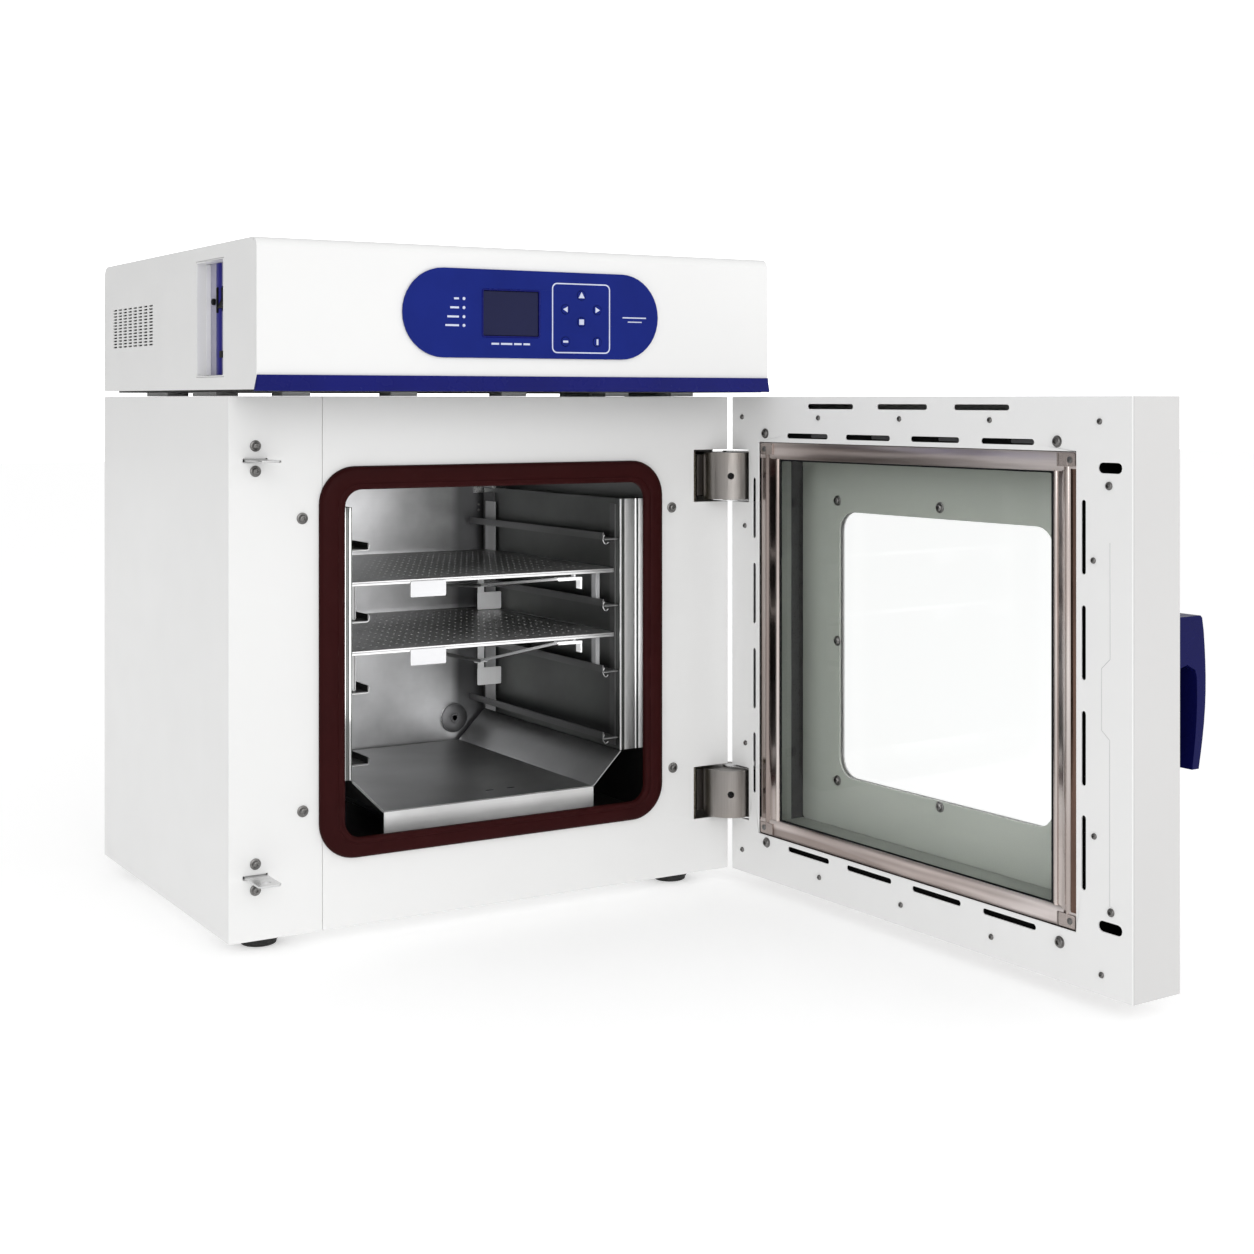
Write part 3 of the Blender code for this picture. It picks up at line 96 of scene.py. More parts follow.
def door_x(u):
    """The shut door's x for a distance u from the hinge's axis."""
    return HINGE.x - u


def door_y(n):
    """The shut door's y for a distance n out from its inner face."""
    return DOOR_INNER - n


# ---- materials ------------------------------------------------------------------------------------


def new_node(owner, kind, inputs, **settings):
    """A node of a material or a world; inputs gives sockets their values, or what feeds them."""
    node = owner.node_tree.nodes.new(f"ShaderNode{kind}")
    for name, value in settings.items():
        setattr(node, name, value)
    for socket, value in inputs.items():
        if isinstance(value, bpy.types.NodeSocket):
            owner.node_tree.links.new(value, node.inputs[socket])
        else:
            node.inputs[socket].default_value = value
    return node


def new_material(name, base, roughness, metallic=0.0, **sockets):
    material = bpy.data.materials.new(name)
    material.use_nodes = True
    shader = material.node_tree.nodes["Principled BSDF"]
    plain = {"Base Color": (*base, 1), "Roughness": roughness, "Metallic": metallic}
    for socket, value in {**plain, **sockets}.items():
        shader.inputs[socket.replace("_", " ")].default_value = value
    return material


def noise(material, scale, detail=3.0, stretch=(1, 1, 1), roughness=0.5):
    """A noise over the object's own coordinates, in metres, stretched along its axes."""
    where = new_node(material, "TexCoord", {}).outputs["Object"]
    mapped = new_node(material, "Mapping", {"Vector": where, "Scale": stretch}).outputs["Vector"]
    inputs = {"Vector": mapped, "Scale": scale, "Detail": detail, "Roughness": roughness}
    return new_node(material, "TexNoise", inputs).outputs["Fac"]


def ramp(material, source, low, high, start=0.35, end=0.65):
    """The source spread between two colours or two greys."""
    spread = new_node(material, "ValToRGB", {"Fac": source})
    for stop, place, value in zip(spread.color_ramp.elements, (start, end), (low, high)):
        stop.position = place
        stop.color = (*(grey(value) if isinstance(value, float) else value), 1)
    return spread.outputs["Color"]


def grey(value):
    return (value, value, value)


def map_range(owner, source, span, reach=(0, 1)):
    sockets = dict(zip(("From Min", "From Max", "To Min", "To Max"), (*span, *reach)))
    return new_node(owner, "MapRange", {"Value": source, **sockets}).outputs["Result"]


def position(material, axis, start, end):
    """How far along an axis of the object's own coordinates: 0 at start, 1 at end, in metres."""
    where = new_node(material, "TexCoord", {}).outputs["Object"]
    return map_range(material, new_node(material, "SeparateXYZ", {0: where}).outputs[axis], (start, end))


def blend_colours(material, factor, first, second, blend="MIX"):
    first, second = ((*value, 1) if isinstance(value, tuple) else value for value in (first, second))
    inputs = {0: factor, 6: first, 7: second}
    return new_node(material, "Mix", inputs, data_type="RGBA", blend_type=blend).outputs[2]


def drive(material, socket, source):
    shader = material.node_tree.nodes["Principled BSDF"]
    material.node_tree.links.new(source, shader.inputs[socket])


def now_driving(material, socket):
    """What feeds a socket of the material's shader so far."""
    return material.node_tree.nodes["Principled BSDF"].inputs[socket].links[0].from_socket


def bump(material, source, height, strength):
    """Relief of this many millimetres from the source."""
    relief = new_node(material, "Bump", {"Height": source, "Strength": strength, "Distance": height * MM})
    drive(material, "Normal", relief.outputs["Normal"])


def powder_coat(name, base, roughness=0.36):
    """Semi-gloss powder coat: a faint orange peel and a barely uneven tone."""
    material = new_material(name, base, roughness, Specular_IOR_Level=0.5, Coat_Weight=0.12,
                            Coat_Roughness=0.12)
    shade = tuple(0.972 * value for value in base)
    drive(material, "Base Color", ramp(material, noise(material, 3.5, 4), shade, base))
    drive(material, "Roughness", ramp(material, noise(material, 24), roughness - 0.04, roughness + 0.05))
    bump(material, noise(material, 520, 2), 0.035, 0.35)
    return material


def grain_along(axis, across, along):
    """The stretch of a noise whose grain runs along an axis."""
    return [along if letter == axis else across for letter in "xyz"]


def brushed_metal(name, base, roughness, along, streak=0.10, tint=None, mottle=0.08):
    """Stainless steel with fine grain along an axis and soft cloudy handling marks."""
    material = new_material(name, base, roughness, 1.0)
    grain = noise(material, 2.4, 4, grain_along(along, 260, 3), 0.65)
    dark = tuple(value * (1 - 2 * mottle) for value in base)
    light = tuple(min(1, value * (1 + mottle)) for value in base)
    clouded = ramp(material, noise(material, 7, 5), dark, light, 0.3, 0.7)
    streaked = ramp(material, grain, 1 - 1.4 * streak, 1.0, 0.3, 0.7)
    colour = blend_colours(material, 1, clouded, streaked, "MULTIPLY")
    if tint:
        patch = ramp(material, noise(material, 5, 2), 0.0, 0.55, 0.45, 0.75)
        colour = blend_colours(material, patch, colour, tint)
    drive(material, "Base Color", colour)
    drive(material, "Roughness", ramp(material, grain, roughness - streak, roughness + streak, 0.25,
                                      0.75))
    bump(material, grain, 0.02, 0.35)
    return material


def moulded(name, base, roughness, grain=0.04, **sockets):
    """Moulded plastic or rubber: fine grain and slightly uneven gloss."""
    material = new_material(name, base, roughness, **sockets)
    shade = tuple(0.86 * value for value in base)
    drive(material, "Base Color", ramp(material, noise(material, 16, 4), shade, base))
    drive(material, "Roughness", ramp(material, noise(material, 60), roughness - 0.05, roughness + 0.07))
    bump(material, noise(material, 900, 2), grain, 0.4)
    return material


def clear_glass(name, tint):
    material = new_material(name, tint, 0.0, Transmission_Weight=1.0, IOR=1.18)
    drive(material, "Roughness", ramp(material, noise(material, 11, 4), 0.0, 0.03, 0.45, 0.8))
    return material


def wool(name, base):
    material = new_material(name, base, 0.95, Sheen_Weight=0.2)
    tufts = noise(material, 220, 6, (1, 1, 6))
    drive(material, "Base Color", ramp(material, tufts, (0.42, 0.37, 0.24), base))
    bump(material, noise(material, 300, 6, (1, 1, 5)), 1.2, 0.8)
    return material


def liner_with_painted_shade(name):
    """The liner, cloudy on the back wall, with painted shade: darker to the left, dark at the right
    corner and on every wall in front of the back wall.
    """
    material = brushed_metal(name, (0.60, 0.60, 0.61), 0.38, "x", 0.02, mottle=0.26)
    wall = cad_box("chamber_liner")[1].y - 6
    at = CABINET @ Vector((388, wall, 0))
    past = CABINET @ Vector((402, wall + 3, 0))
    left = CABINET @ Vector((130, 0, 0))
    # Painted shade: darker towards the left of the back wall.
    shaded = ramp(material, position(material, "X", left.x, at.x), 0.55, 0.0, 0.0, 0.85)
    colour = blend_colours(material, shaded, now_driving(material, "Base Color"), (0.20, 0.20, 0.205))
    # Painted shade: dark where the back wall turns into the right side.
    side = ramp(material, position(material, "X", at.x, past.x), 0.0, 1.0, 0.1, 0.9)
    colour = blend_colours(material, side, colour, (0.17, 0.17, 0.175))
    # Painted shade: everything in front of the back wall painted dark.
    depth = position(material, "Y", at.y, past.y)
    drive(material, "Base Color", blend_colours(material, depth, (0.20, 0.205, 0.20), colour))
    return material


def polished_bar(name, base, roughness, along):
    """Polished trim with a brownish tint in patches and long soft dark streaks, painted reflections."""
    material = brushed_metal(name, base, roughness, along, 0.05, (0.40, 0.29, 0.25), 0.06)
    # Painted reflection: long soft dark streaks along the bar.
    painted_reflection_streaks = noise(material, 1.6, 2, grain_along(along, 34, 0.8))
    painted_reflection_streaks = ramp(material, painted_reflection_streaks, 0.0, 0.8, 0.42, 0.60)
    colour = now_driving(material, "Base Color")
    drive(material, "Base Color", blend_colours(material, painted_reflection_streaks, colour, (0.24, 0.19, 0.17)))
    return material


def less_metallic(material, low, high):
    drive(material, "Metallic", ramp(material, noise(material, 9), low, high))


WHITE = powder_coat("white_powder_coat", (0.83, 0.83, 0.825))
DOOR_WHITE = powder_coat("white_door_coat", (0.86, 0.86, 0.855))
# The door's shell: the same white coat painted darker, as painted shade.
SHADED_SHELL_WHITE = powder_coat("white_shell_coat_painted_shade", (0.62, 0.615, 0.61))
# Painted shade: grey for the crease along the latch channel's pressed outline.
EMBOSS_SHADE = powder_coat("embossed_line_painted_shade", grey(0.56))
# The clamp plate: a white coat painted dark grey-green, as painted shade inside the door.
SHADED_WHITE = powder_coat("white_coat_in_painted_shade", (0.36, 0.385, 0.345), 0.5)
STEEL_X = brushed_metal("brushed_steel_across", grey(0.72), 0.30, "x", mottle=0.14)
STEEL_Y = brushed_metal("brushed_steel_deep", grey(0.60), 0.30, "y")
STEEL_Z = brushed_metal("brushed_steel_upright", grey(0.86), 0.24, "z", 0.04, mottle=0.08)
BRIGHT_STEEL = brushed_metal("bright_cut_steel", grey(0.30), 0.42, "x", 0.05, mottle=0.05)
# Painted light: a lighter, partly non-metallic copy of the rack steel for the front tabs and right legs.
LIT_TAB_STEEL = brushed_metal("tab_steel_painted_light", (0.235, 0.235, 0.24), 0.5, "x", 0.03, mottle=0.06)
less_metallic(LIT_TAB_STEEL, 0.5, 0.7)
# Painted light: the floor's front face and the air guides' folded fronts, much lighter than the same steel
# behind them.
LIT_FLANGE_STEEL = brushed_metal("flange_steel_painted_light", grey(0.98), 0.40, "x", 0.04, mottle=0.14)
LIT_CHANNEL_STEEL = brushed_metal("channel_steel_painted_light", grey(0.86), 0.32, "z", 0.03, mottle=0.06)
VENT_STEEL = brushed_metal("vent_steel", (0.20, 0.20, 0.205), 0.50, "y", 0.03)
# Painted light: nearly white, mostly non-metallic steel for weakly lit tabs, braces, upright faces and
# edges.
LIT_PALE_STEEL = brushed_metal("pale_steel_painted_light", (0.95, 0.95, 0.955), 0.45, "z", 0.03, mottle=0.07)
less_metallic(LIT_PALE_STEEL, 0.1, 0.3)
BARREL_STEEL = brushed_metal("barrel_steel", (0.36, 0.34, 0.325), 0.36, "z", tint=(0.30, 0.25, 0.21))
LINER_PAINTED_SHADE = liner_with_painted_shade("liner_steel_painted_shade")
# Painted shade: the air guides in steel painted near black.
SHADED_GUIDE_STEEL = brushed_metal("guide_steel_painted_shade", (0.125, 0.13, 0.125), 0.40, "y", 0.06, mottle=0.14)
FLOOR_STEEL = brushed_metal("floor_steel", (0.46, 0.465, 0.465), 0.38, "x", 0.03, mottle=0.12)
# Painted shade: the runners, uprights, left legs and diagonal wires in steel painted near black.
SHADED_RACK_STEEL = brushed_metal("rack_steel_painted_shade", grey(0.17), 0.42, "y", 0.05, mottle=0.12)
SHELF_STEEL = brushed_metal("shelf_steel", grey(0.42), 0.36, "x", 0.03, mottle=0.14)
FRAME_UPRIGHT = polished_bar("frame_bar_upright", (0.66, 0.60, 0.575), 0.13, "z")
FRAME_RAIL = polished_bar("frame_bar_rail", (0.88, 0.81, 0.79), 0.33, "y")
SCREW_STEEL = brushed_metal("screw_steel", (0.20, 0.195, 0.19), 0.32, "y", 0.05)
# Dark copper-brown steel for the window frame's free edge.
COPPER_EDGE = brushed_metal("copper_brown_edge", (0.17, 0.105, 0.08), 0.2, "z", 0.06, (0.03, 0.022, 0.02))
CLIP_STEEL = brushed_metal("clip_steel", (0.44, 0.39, 0.37), 0.22, "y", 0.05, (0.25, 0.19, 0.16))
CAVITY_GREY = moulded("cavity_sheet", (0.25, 0.27, 0.24), 0.6, 0.02)
# Painted reflection: the blue switch plate coloured grey-violet.
PLATE_PAINTED_REFLECTION = moulded("pocket_plate_painted_reflection", (0.34, 0.33, 0.43), 0.35, 0.02)
RIB_BLUE = moulded("pocket_rib_blue", (0.026, 0.024, 0.215), 0.35, 0.02, Specular_IOR_Level=0.1)

DARK_SOCKET = moulded("socket_shadow", (0.012, 0.012, 0.013), 0.7)
# Painted shade: the door's insulation painted near black.
WOOL_IN_PAINTED_SHADE = moulded("shaded_wool", grey(0.012), 0.95, 0.3, Specular_IOR_Level=0.1)
# Painted shade: a dark grey sheet behind the door's slots.
SLOT_SHADE_SHEET = moulded("slot_shade_sheet", (0.115, 0.115, 0.12), 0.5)
SILICONE = moulded("red_silicone", (0.029, 0.0040, 0.0042), 0.50, 0.05, Specular_IOR_Level=0.06)
RUBBER = moulded("black_rubber", grey(0.012), 0.72, 0.10)
OVERLAY_BLUE = moulded("overlay_film", (0.0095, 0.0200, 0.190), 0.34, 0.02, Specular_IOR_Level=0.06)
TRIM_BLUE = moulded("blue_moulding", (0.0045, 0.0070, 0.135), 0.24, 0.02, Specular_IOR_Level=0.12)
HANDLE_BLUE = moulded("handle_moulding", (0.0050, 0.0058, 0.072), 0.26, 0.05, Specular_IOR_Level=0.08)
BLACK = moulded("black_moulding", (0.008, 0.008, 0.009), 0.48, 0.05, Specular_IOR_Level=0.12)
PRINT = moulded("white_print", (0.62, 0.66, 0.82), 0.5, 0.0)
DISPLAY = moulded("display_window", (0.013, 0.015, 0.056), 0.20, 0.0, Specular_IOR_Level=0.12)
PANE = clear_glass("clear_pane", (0.995, 1.0, 0.997))
WOOL = wool("mineral_wool", (0.62, 0.55, 0.40))
BOARD = moulded("circuit_board", (0.02, 0.17, 0.06), 0.42, 0.06)


# ---- making pieces --------------------------------------------------------------------------------


SHARP_ANGLE = 38
WELD_DISTANCE = 0.01 * MM


def soften(obj, bevel, segments=2, weld=False):
    """Small round edges, and shading that stays flat on the flats."""
    if weld:
        merged = obj.modifiers.new("Weld", "WELD")
        merged.merge_threshold = WELD_DISTANCE
    if bevel:
        edge = obj.modifiers.new("Bevel", "BEVEL")
        edge.width = bevel * MM
        edge.segments = segments
        edge.limit_method = "ANGLE"
        edge.angle_limit = math.radians(SHARP_ANGLE)
        edge.miter_outer = "MITER_ARC"
    flats = obj.modifiers.new("Flats", "WEIGHTED_NORMAL")
    flats.keep_sharp = True
    return obj


def piece(name, build, material, body="oven", bevel=0.0, smooth=40):
    """A mesh that build fills in millimetres, riding on a CAD body; the door's are drawn shut."""
    place = DOOR if body == "door" else CABINET
    form = bmesh.new()
    build(form)
    bmesh.ops.transform(form, matrix=place, verts=form.verts)
    bmesh.ops.recalc_face_normals(form, faces=form.faces)
    mesh = bpy.data.meshes.new(name)
    form.to_mesh(mesh)
    form.free()
    mesh.materials.append(material)
    mesh.shade_smooth()
    if not bevel:
        mesh.set_sharp_from_angle(angle=math.radians(smooth))
    obj = bpy.data.objects.new(name, mesh)
    bpy.context.scene.collection.objects.link(obj)
    if bevel:
        soften(obj, bevel)
    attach(obj, body)
    return obj


def finish_node(node, material, bevel, segments):
    """A CAD node kept as it is, with its finish and small round edges."""
    obj = frame["nodes"][node]
    for place in obj.material_slots:
        place.material = material
    mesh = obj.data
    if "custom_normal" in mesh.attributes:
        mesh.attributes.remove(mesh.attributes["custom_normal"])
    mesh.shade_smooth()
    soften(obj, bevel, segments, weld=True)
    return obj


def add_box(form, low, high):
    low, high = Vector(low), Vector(high)
    size = Matrix.Diagonal((*(high - low), 1))
    bmesh.ops.create_cube(form, size=1, matrix=Matrix.Translation((low + high) / 2) @ size)


def lift(axis, point, height):
    """A point of an outline set on its plane: axis z holds x, y; axis y holds x, z; axis x holds y, z."""
    a, b = point
    return {"z": (a, b, height), "y": (a, height, b), "x": (height, a, b)}[axis]


def add_loft(form, loops, closed=True):
    """Faces between loops of equally many points; closed joins the last loop to the first."""
    rings = [[form.verts.new(point) for point in loop] for loop in loops]
    for first, second in zip(rings, rings[1:] + rings[:1] if closed else rings[1:]):
        for here in range(len(first)):
            after = (here + 1) % len(first)
            form.faces.new((first[here], first[after], second[after], second[here]))
    if not closed:
        form.faces.new(rings[0][::-1])
        form.faces.new(rings[-1])


def add_prism(form, outline, axis, low, high):
    ends = [[lift(axis, point, height) for point in outline] for height in (low, high)]
    add_loft(form, ends, closed=False)


def rounded(left, right, low, high, radius, steps=6):
    """The outline of a rectangle with round corners, anticlockwise."""
    corners = (
        (right - radius, low + radius, -90),
        (right - radius, high - radius, 0),
        (left + radius, high - radius, 90),
        (left + radius, low + radius, 180),
    )
    outline = []
    for x, z, first in corners:
        for step in range(steps + 1):
            angle = math.radians(first + 90 * step / steps)
            outline.append((x + radius * math.cos(angle), z + radius * math.sin(angle)))
    return outline


def add_frame(form, outer, inner, axis, section):
    """A frame whose cross-section runs from the inner outline (share 0) to the outer one (share 1);
    each section point is (share, height)."""
    loops = [[
        lift(axis, (a[0] + (b[0] - a[0]) * share, a[1] + (b[1] - a[1]) * share), height)
        for a, b in zip(inner, outer)
    ] for share, height in section]
    add_loft(form, loops)


def add_turned(form, profile, start, direction, sides=24, hexagon=()):
    """A profile of (radius, height) turned about a line; the rings listed in hexagon are six-sided."""
    axis = Vector(direction).normalized()
    turn = Matrix.Translation(start) @ axis.to_track_quat("Z", "Y").to_matrix().to_4x4()
    rings = []
    for index, (radius, height) in enumerate(profile):
        if radius < 1e-6:
            rings.append([form.verts.new(turn @ Vector((0, 0, height)))])
            continue
        ring = []
        for side in range(sides):
            angle = 2 * math.pi * side / sides
            reach = radius
            if index in hexagon:
                reach *= math.cos(math.pi / 6) / math.cos(angle % (math.pi / 3) - math.pi / 6)
            ring.append(form.verts.new(turn @ Vector((reach * math.cos(angle), reach * math.sin(angle),
                                                      height))))
        rings.append(ring)
    for first, second in zip(rings, rings[1:]):
        for side in range(sides):
            after = (side + 1) % sides
            if len(first) == 1:
                form.faces.new((first[0], second[side], second[after]))
            elif len(second) == 1:
                form.faces.new((first[side], first[after], second[0]))
            else:
                form.faces.new((first[side], first[after], second[after], second[side]))
    for ring in (rings[0], rings[-1]):
        if len(ring) > 1:
            form.faces.new(ring)


def add_tube(form, points, radius, sides=10):
    """A round bar along points, its ends closed."""
    points = [Vector(point) for point in points]
    loops = []
    for index, point in enumerate(points):
        before = points[max(0, index - 1)]
        after = points[min(len(points) - 1, index + 1)]
        turn = (after - before).to_track_quat("Z", "Y").to_matrix()
        loops.append([
            point + turn @ Vector((radius * math.cos(a), radius * math.sin(a), 0))
            for a in (2 * math.pi * side / sides for side in range(sides))
        ])
    add_loft(form, loops, closed=False)


WASHER_THICK = 0.9


def add_screw(form, at, direction, radius, height, washer=0.0, socket=0.45):
    """A button-head screw with a hexagon socket, on a washer where one is asked for."""
    seat = 0.0
    if washer:
        seat = WASHER_THICK
        ring = [(0, 0), (washer, 0), (washer, seat - 0.2), (washer - 0.25, seat), (0, seat)]
        add_turned(form, ring, at, direction, 28)
    # each point as shares of the head's radius and height
    head = [(0, 0), (0.96, 0), (1, 0.25), (0.93, 0.6), (0.78, 0.86), (0.6, 1), (socket, 1),
            (socket * 0.94, 0.45), (0, 0.395)]
    profile = [(radius * across, seat + height * up) for across, up in head]
    add_turned(form, profile, at, direction, 24, hexagon=(6, 7))


def screw_piece(name, groups, direction, body="oven"):
    """One piece of screws; each group is the places of its screws, then their sizes."""

    def build(form):
        for places, *sizes in groups:
            for place in places:
                add_screw(form, place, direction, *sizes)

    piece(name, build, SCREW_STEEL, body=body)


# ---- the finish of each CAD node that keeps its shape -----------------------------------------------

# The printed symbol on each key, round its middle
KEY_SYMBOLS = {
    "up": [(-3.4, -2.6), (3.4, -2.6), (0, 3.4)],
    "left": [(2.2, -2.8), (2.2, 2.8), (-2.8, 0)],
    "right": [(-2.2, 2.8), (-2.2, -2.8), (2.8, 0)],
    "down": [(-2.6, -2.6), (2.6, -2.6), (2.6, 2.6), (-2.6, 2.6)],
    "menu": [(-2.8, -1.0), (2.8, -1.0), (2.8, 1.0), (-2.8, 1.0)],
    "enter": [(-1.0, -2.8), (1.0, -2.8), (1.0, 2.8), (-1.0, 2.8)],
}

# Each row: material, edge radius, steps of the edge, nodes
FINISHES = (
    (WHITE, 0.6, 2, "left_side_panel front_frame right_side_panel cabinet_top base_panel rear_panel"),
    (STEEL_X, 0.4, 2, "strike_upper strike_lower"),
    (BARREL_STEEL, 0.7, 2, "hinge_barrel_upper hinge_barrel_lower"),
    (WOOL, 0, 2, "insulation_jacket"),
    (LINER_PAINTED_SHADE, 0.4, 2, "chamber_liner"),
    (FLOOR_STEEL, 0.3, 2, "duct_floor"),
    (SHADED_GUIDE_STEEL, 0.2, 2, "duct_panel_left duct_panel_right"),
    (SHADED_RACK_STEEL, 0.3, 2, "rack_left rack_right"),
    (STEEL_Y, 0, 2, "heater_element"),
    (STEEL_X, 0.5, 2, "fan_motor"),
    (STEEL_X, 0.2, 2, "fan_wheel"),
    (STEEL_Y, 0.2, 2, "temperature_probe"),
    (STEEL_Y, 0.4, 2, "vent_tube"),
    (DOOR_WHITE, 0.35, 2, "door_inner_panel"),
    (SHADED_SHELL_WHITE, 1.6, 4, "door_shell"),
    (SHADED_WHITE, 0.4, 2, "glass_clamp"),
    (PANE, 0.3, 2, "inner_glass outer_glass"),
    (WOOL_IN_PAINTED_SHADE, 0, 2, "door_insulation"),
    (STEEL_Z, 0.3, 2, "latch_rod hinge_leaf_upper hinge_leaf_lower"),
    (HANDLE_BLUE, 1.2, 3, "handle"),
    (WHITE, 0.8, 3, "housing_cover fascia"),
    (WHITE, 0.4, 2, "housing_base side_pocket"),
    (OVERLAY_BLUE, 0.3, 2, "control_overlay"),
    (OVERLAY_BLUE, 0.35, 2, " ".join(f"button_{key}" for key in KEY_SYMBOLS)),
    (BLACK, 0.4, 2, "lcd_module"),
    (BLACK, 0.6, 2, "power_inlet"),
    (BLACK, 0.6, 3, "power_switch"),
    (BLACK, 0.8, 3, "vent_damper"),
    (PLATE_PAINTED_REFLECTION, 0.4, 2, "switch_panel"),
    (BOARD, 0.2, 2, "control_board"),
    (STEEL_X, 0.8, 2, "power_supply"),
)


# ---- cabinet --------------------------------------------------------------------------------------


RUNNER_DROPS = (148.3, 217.3, 285.8, 354.8)
FLOOR_CHAMFER, FLOOR_DROP = 33, 401


def make_feet():
    """Moulded feet: a flange under the cabinet, a waist, and a wide sole."""
    for end in ("front", "rear"):
        for side in ("left", "right"):
            node = f"foot_{end}_{side}"
            low, high = cad_box(node)
            middle = (low + high) / 2
            radius, tall = (high.x - low.x) / 2, high.z - low.z
            profile = [
                (0, 0), (radius - 4.4, 0), (radius - 3.4, 0.6), (radius - 3.0, 1.8), (radius - 3.2, 3.0),
                (radius - 1.6, 4.6), (radius - 0.5, tall * 0.6), (radius, tall * 0.78),
                (radius, tall - 1), (radius - 0.7, tall), (0, tall),
            ]

            def build(form):
                add_turned(form, profile, (middle.x, middle.y, low.z), (0, 0, 1), 40)

            foot = piece(f"{node}_moulding", build, RUBBER)
            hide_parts(node)


def make_gasket():
    """A broad silicone seal with a rounded outer bead, a shallow groove and a thin inner lip."""
    low, high = cad_box("door_gasket")
    back, face = high.y, low.y
    tall = back - face
    steps = 12
    outer = rounded(low.x, high.x, low.z, high.z, SEAL_RADIUS, steps)
    inner = rounded(*MOUTH, MOUTH_RADIUS, steps)
    section = [
        (0.0, 0.0), (0.0, 0.50), (0.035, 0.74), (0.10, 0.86), (0.20, 0.90), (0.255, 0.90), (0.285, 0.83),
        (0.315, 0.90), (0.42, 0.965), (0.58, 1.0), (0.74, 0.985), (0.86, 0.90), (0.94, 0.72),
        (0.985, 0.45), (1.0, 0.2), (1.0, 0.0),
    ]

    def build(form):
        add_frame(form, outer, inner, "y", [(share, back - tall * rise) for share, rise in section])

    seal = piece("gasket_bead", build, SILICONE, smooth=60)
    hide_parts("door_gasket")


def make_cabinet_screws():
    """Button heads on washers beside the seal, and pairs above and below each strike tongue."""
    centre_x = (cad_box("strike_upper")[0].x + cad_box("strike_upper")[1].x) / 2
    strikes = [(centre_x, 0, drop(down)) for down in (45.6, 68.9, 429.2, 453.1)]
    front = [(x, 0, drop(down)) for x, down in ((71, 113.6), (71.5, 386), (479, 115.5), (480.5, 386.9))]
    screw_piece("cabinet_front_screws", [(strikes, 3.6, 3.0, 5.2), (front, 3.8, 2.8, 5.4)], OUTWARD)

    levels = (cad_box("rear_panel")[0].z + 14, TOP - 14)
    rear = [(x, DEPTH, z) for x in (20, WIDTH / 2, WIDTH - 20) for z in levels]
    rear += [(x, DEPTH, drop(down)) for down in (135, 365) for x in (16, WIDTH - 16)]
    screw_piece("cabinet_rear_screws", [(rear, 3.4, 2.2)], INWARD)


def make_grub_screws():
    """A set screw deep in each hinge barrel's side hole."""
    toward = Vector((-0.50, -0.866, 0))

    def build(form):
        for node in ("hinge_barrel_upper", "hinge_barrel_lower"):
            low, high = cad_box(node)
            middle = Vector((HINGE.x, HINGE.y, (low.z + high.z) / 2))
            profile = [(0, 0), (3.3, 0), (3.3, 4), (1.6, 4), (1.5, 2.2), (0, 2.0)]
            add_turned(form, profile, middle + toward * 17.2, toward, 18, hexagon=(3, 4))

    piece("hinge_grub_screws", build, DARK_SOCKET)


# ---- chamber --------------------------------------------------------------------------------------


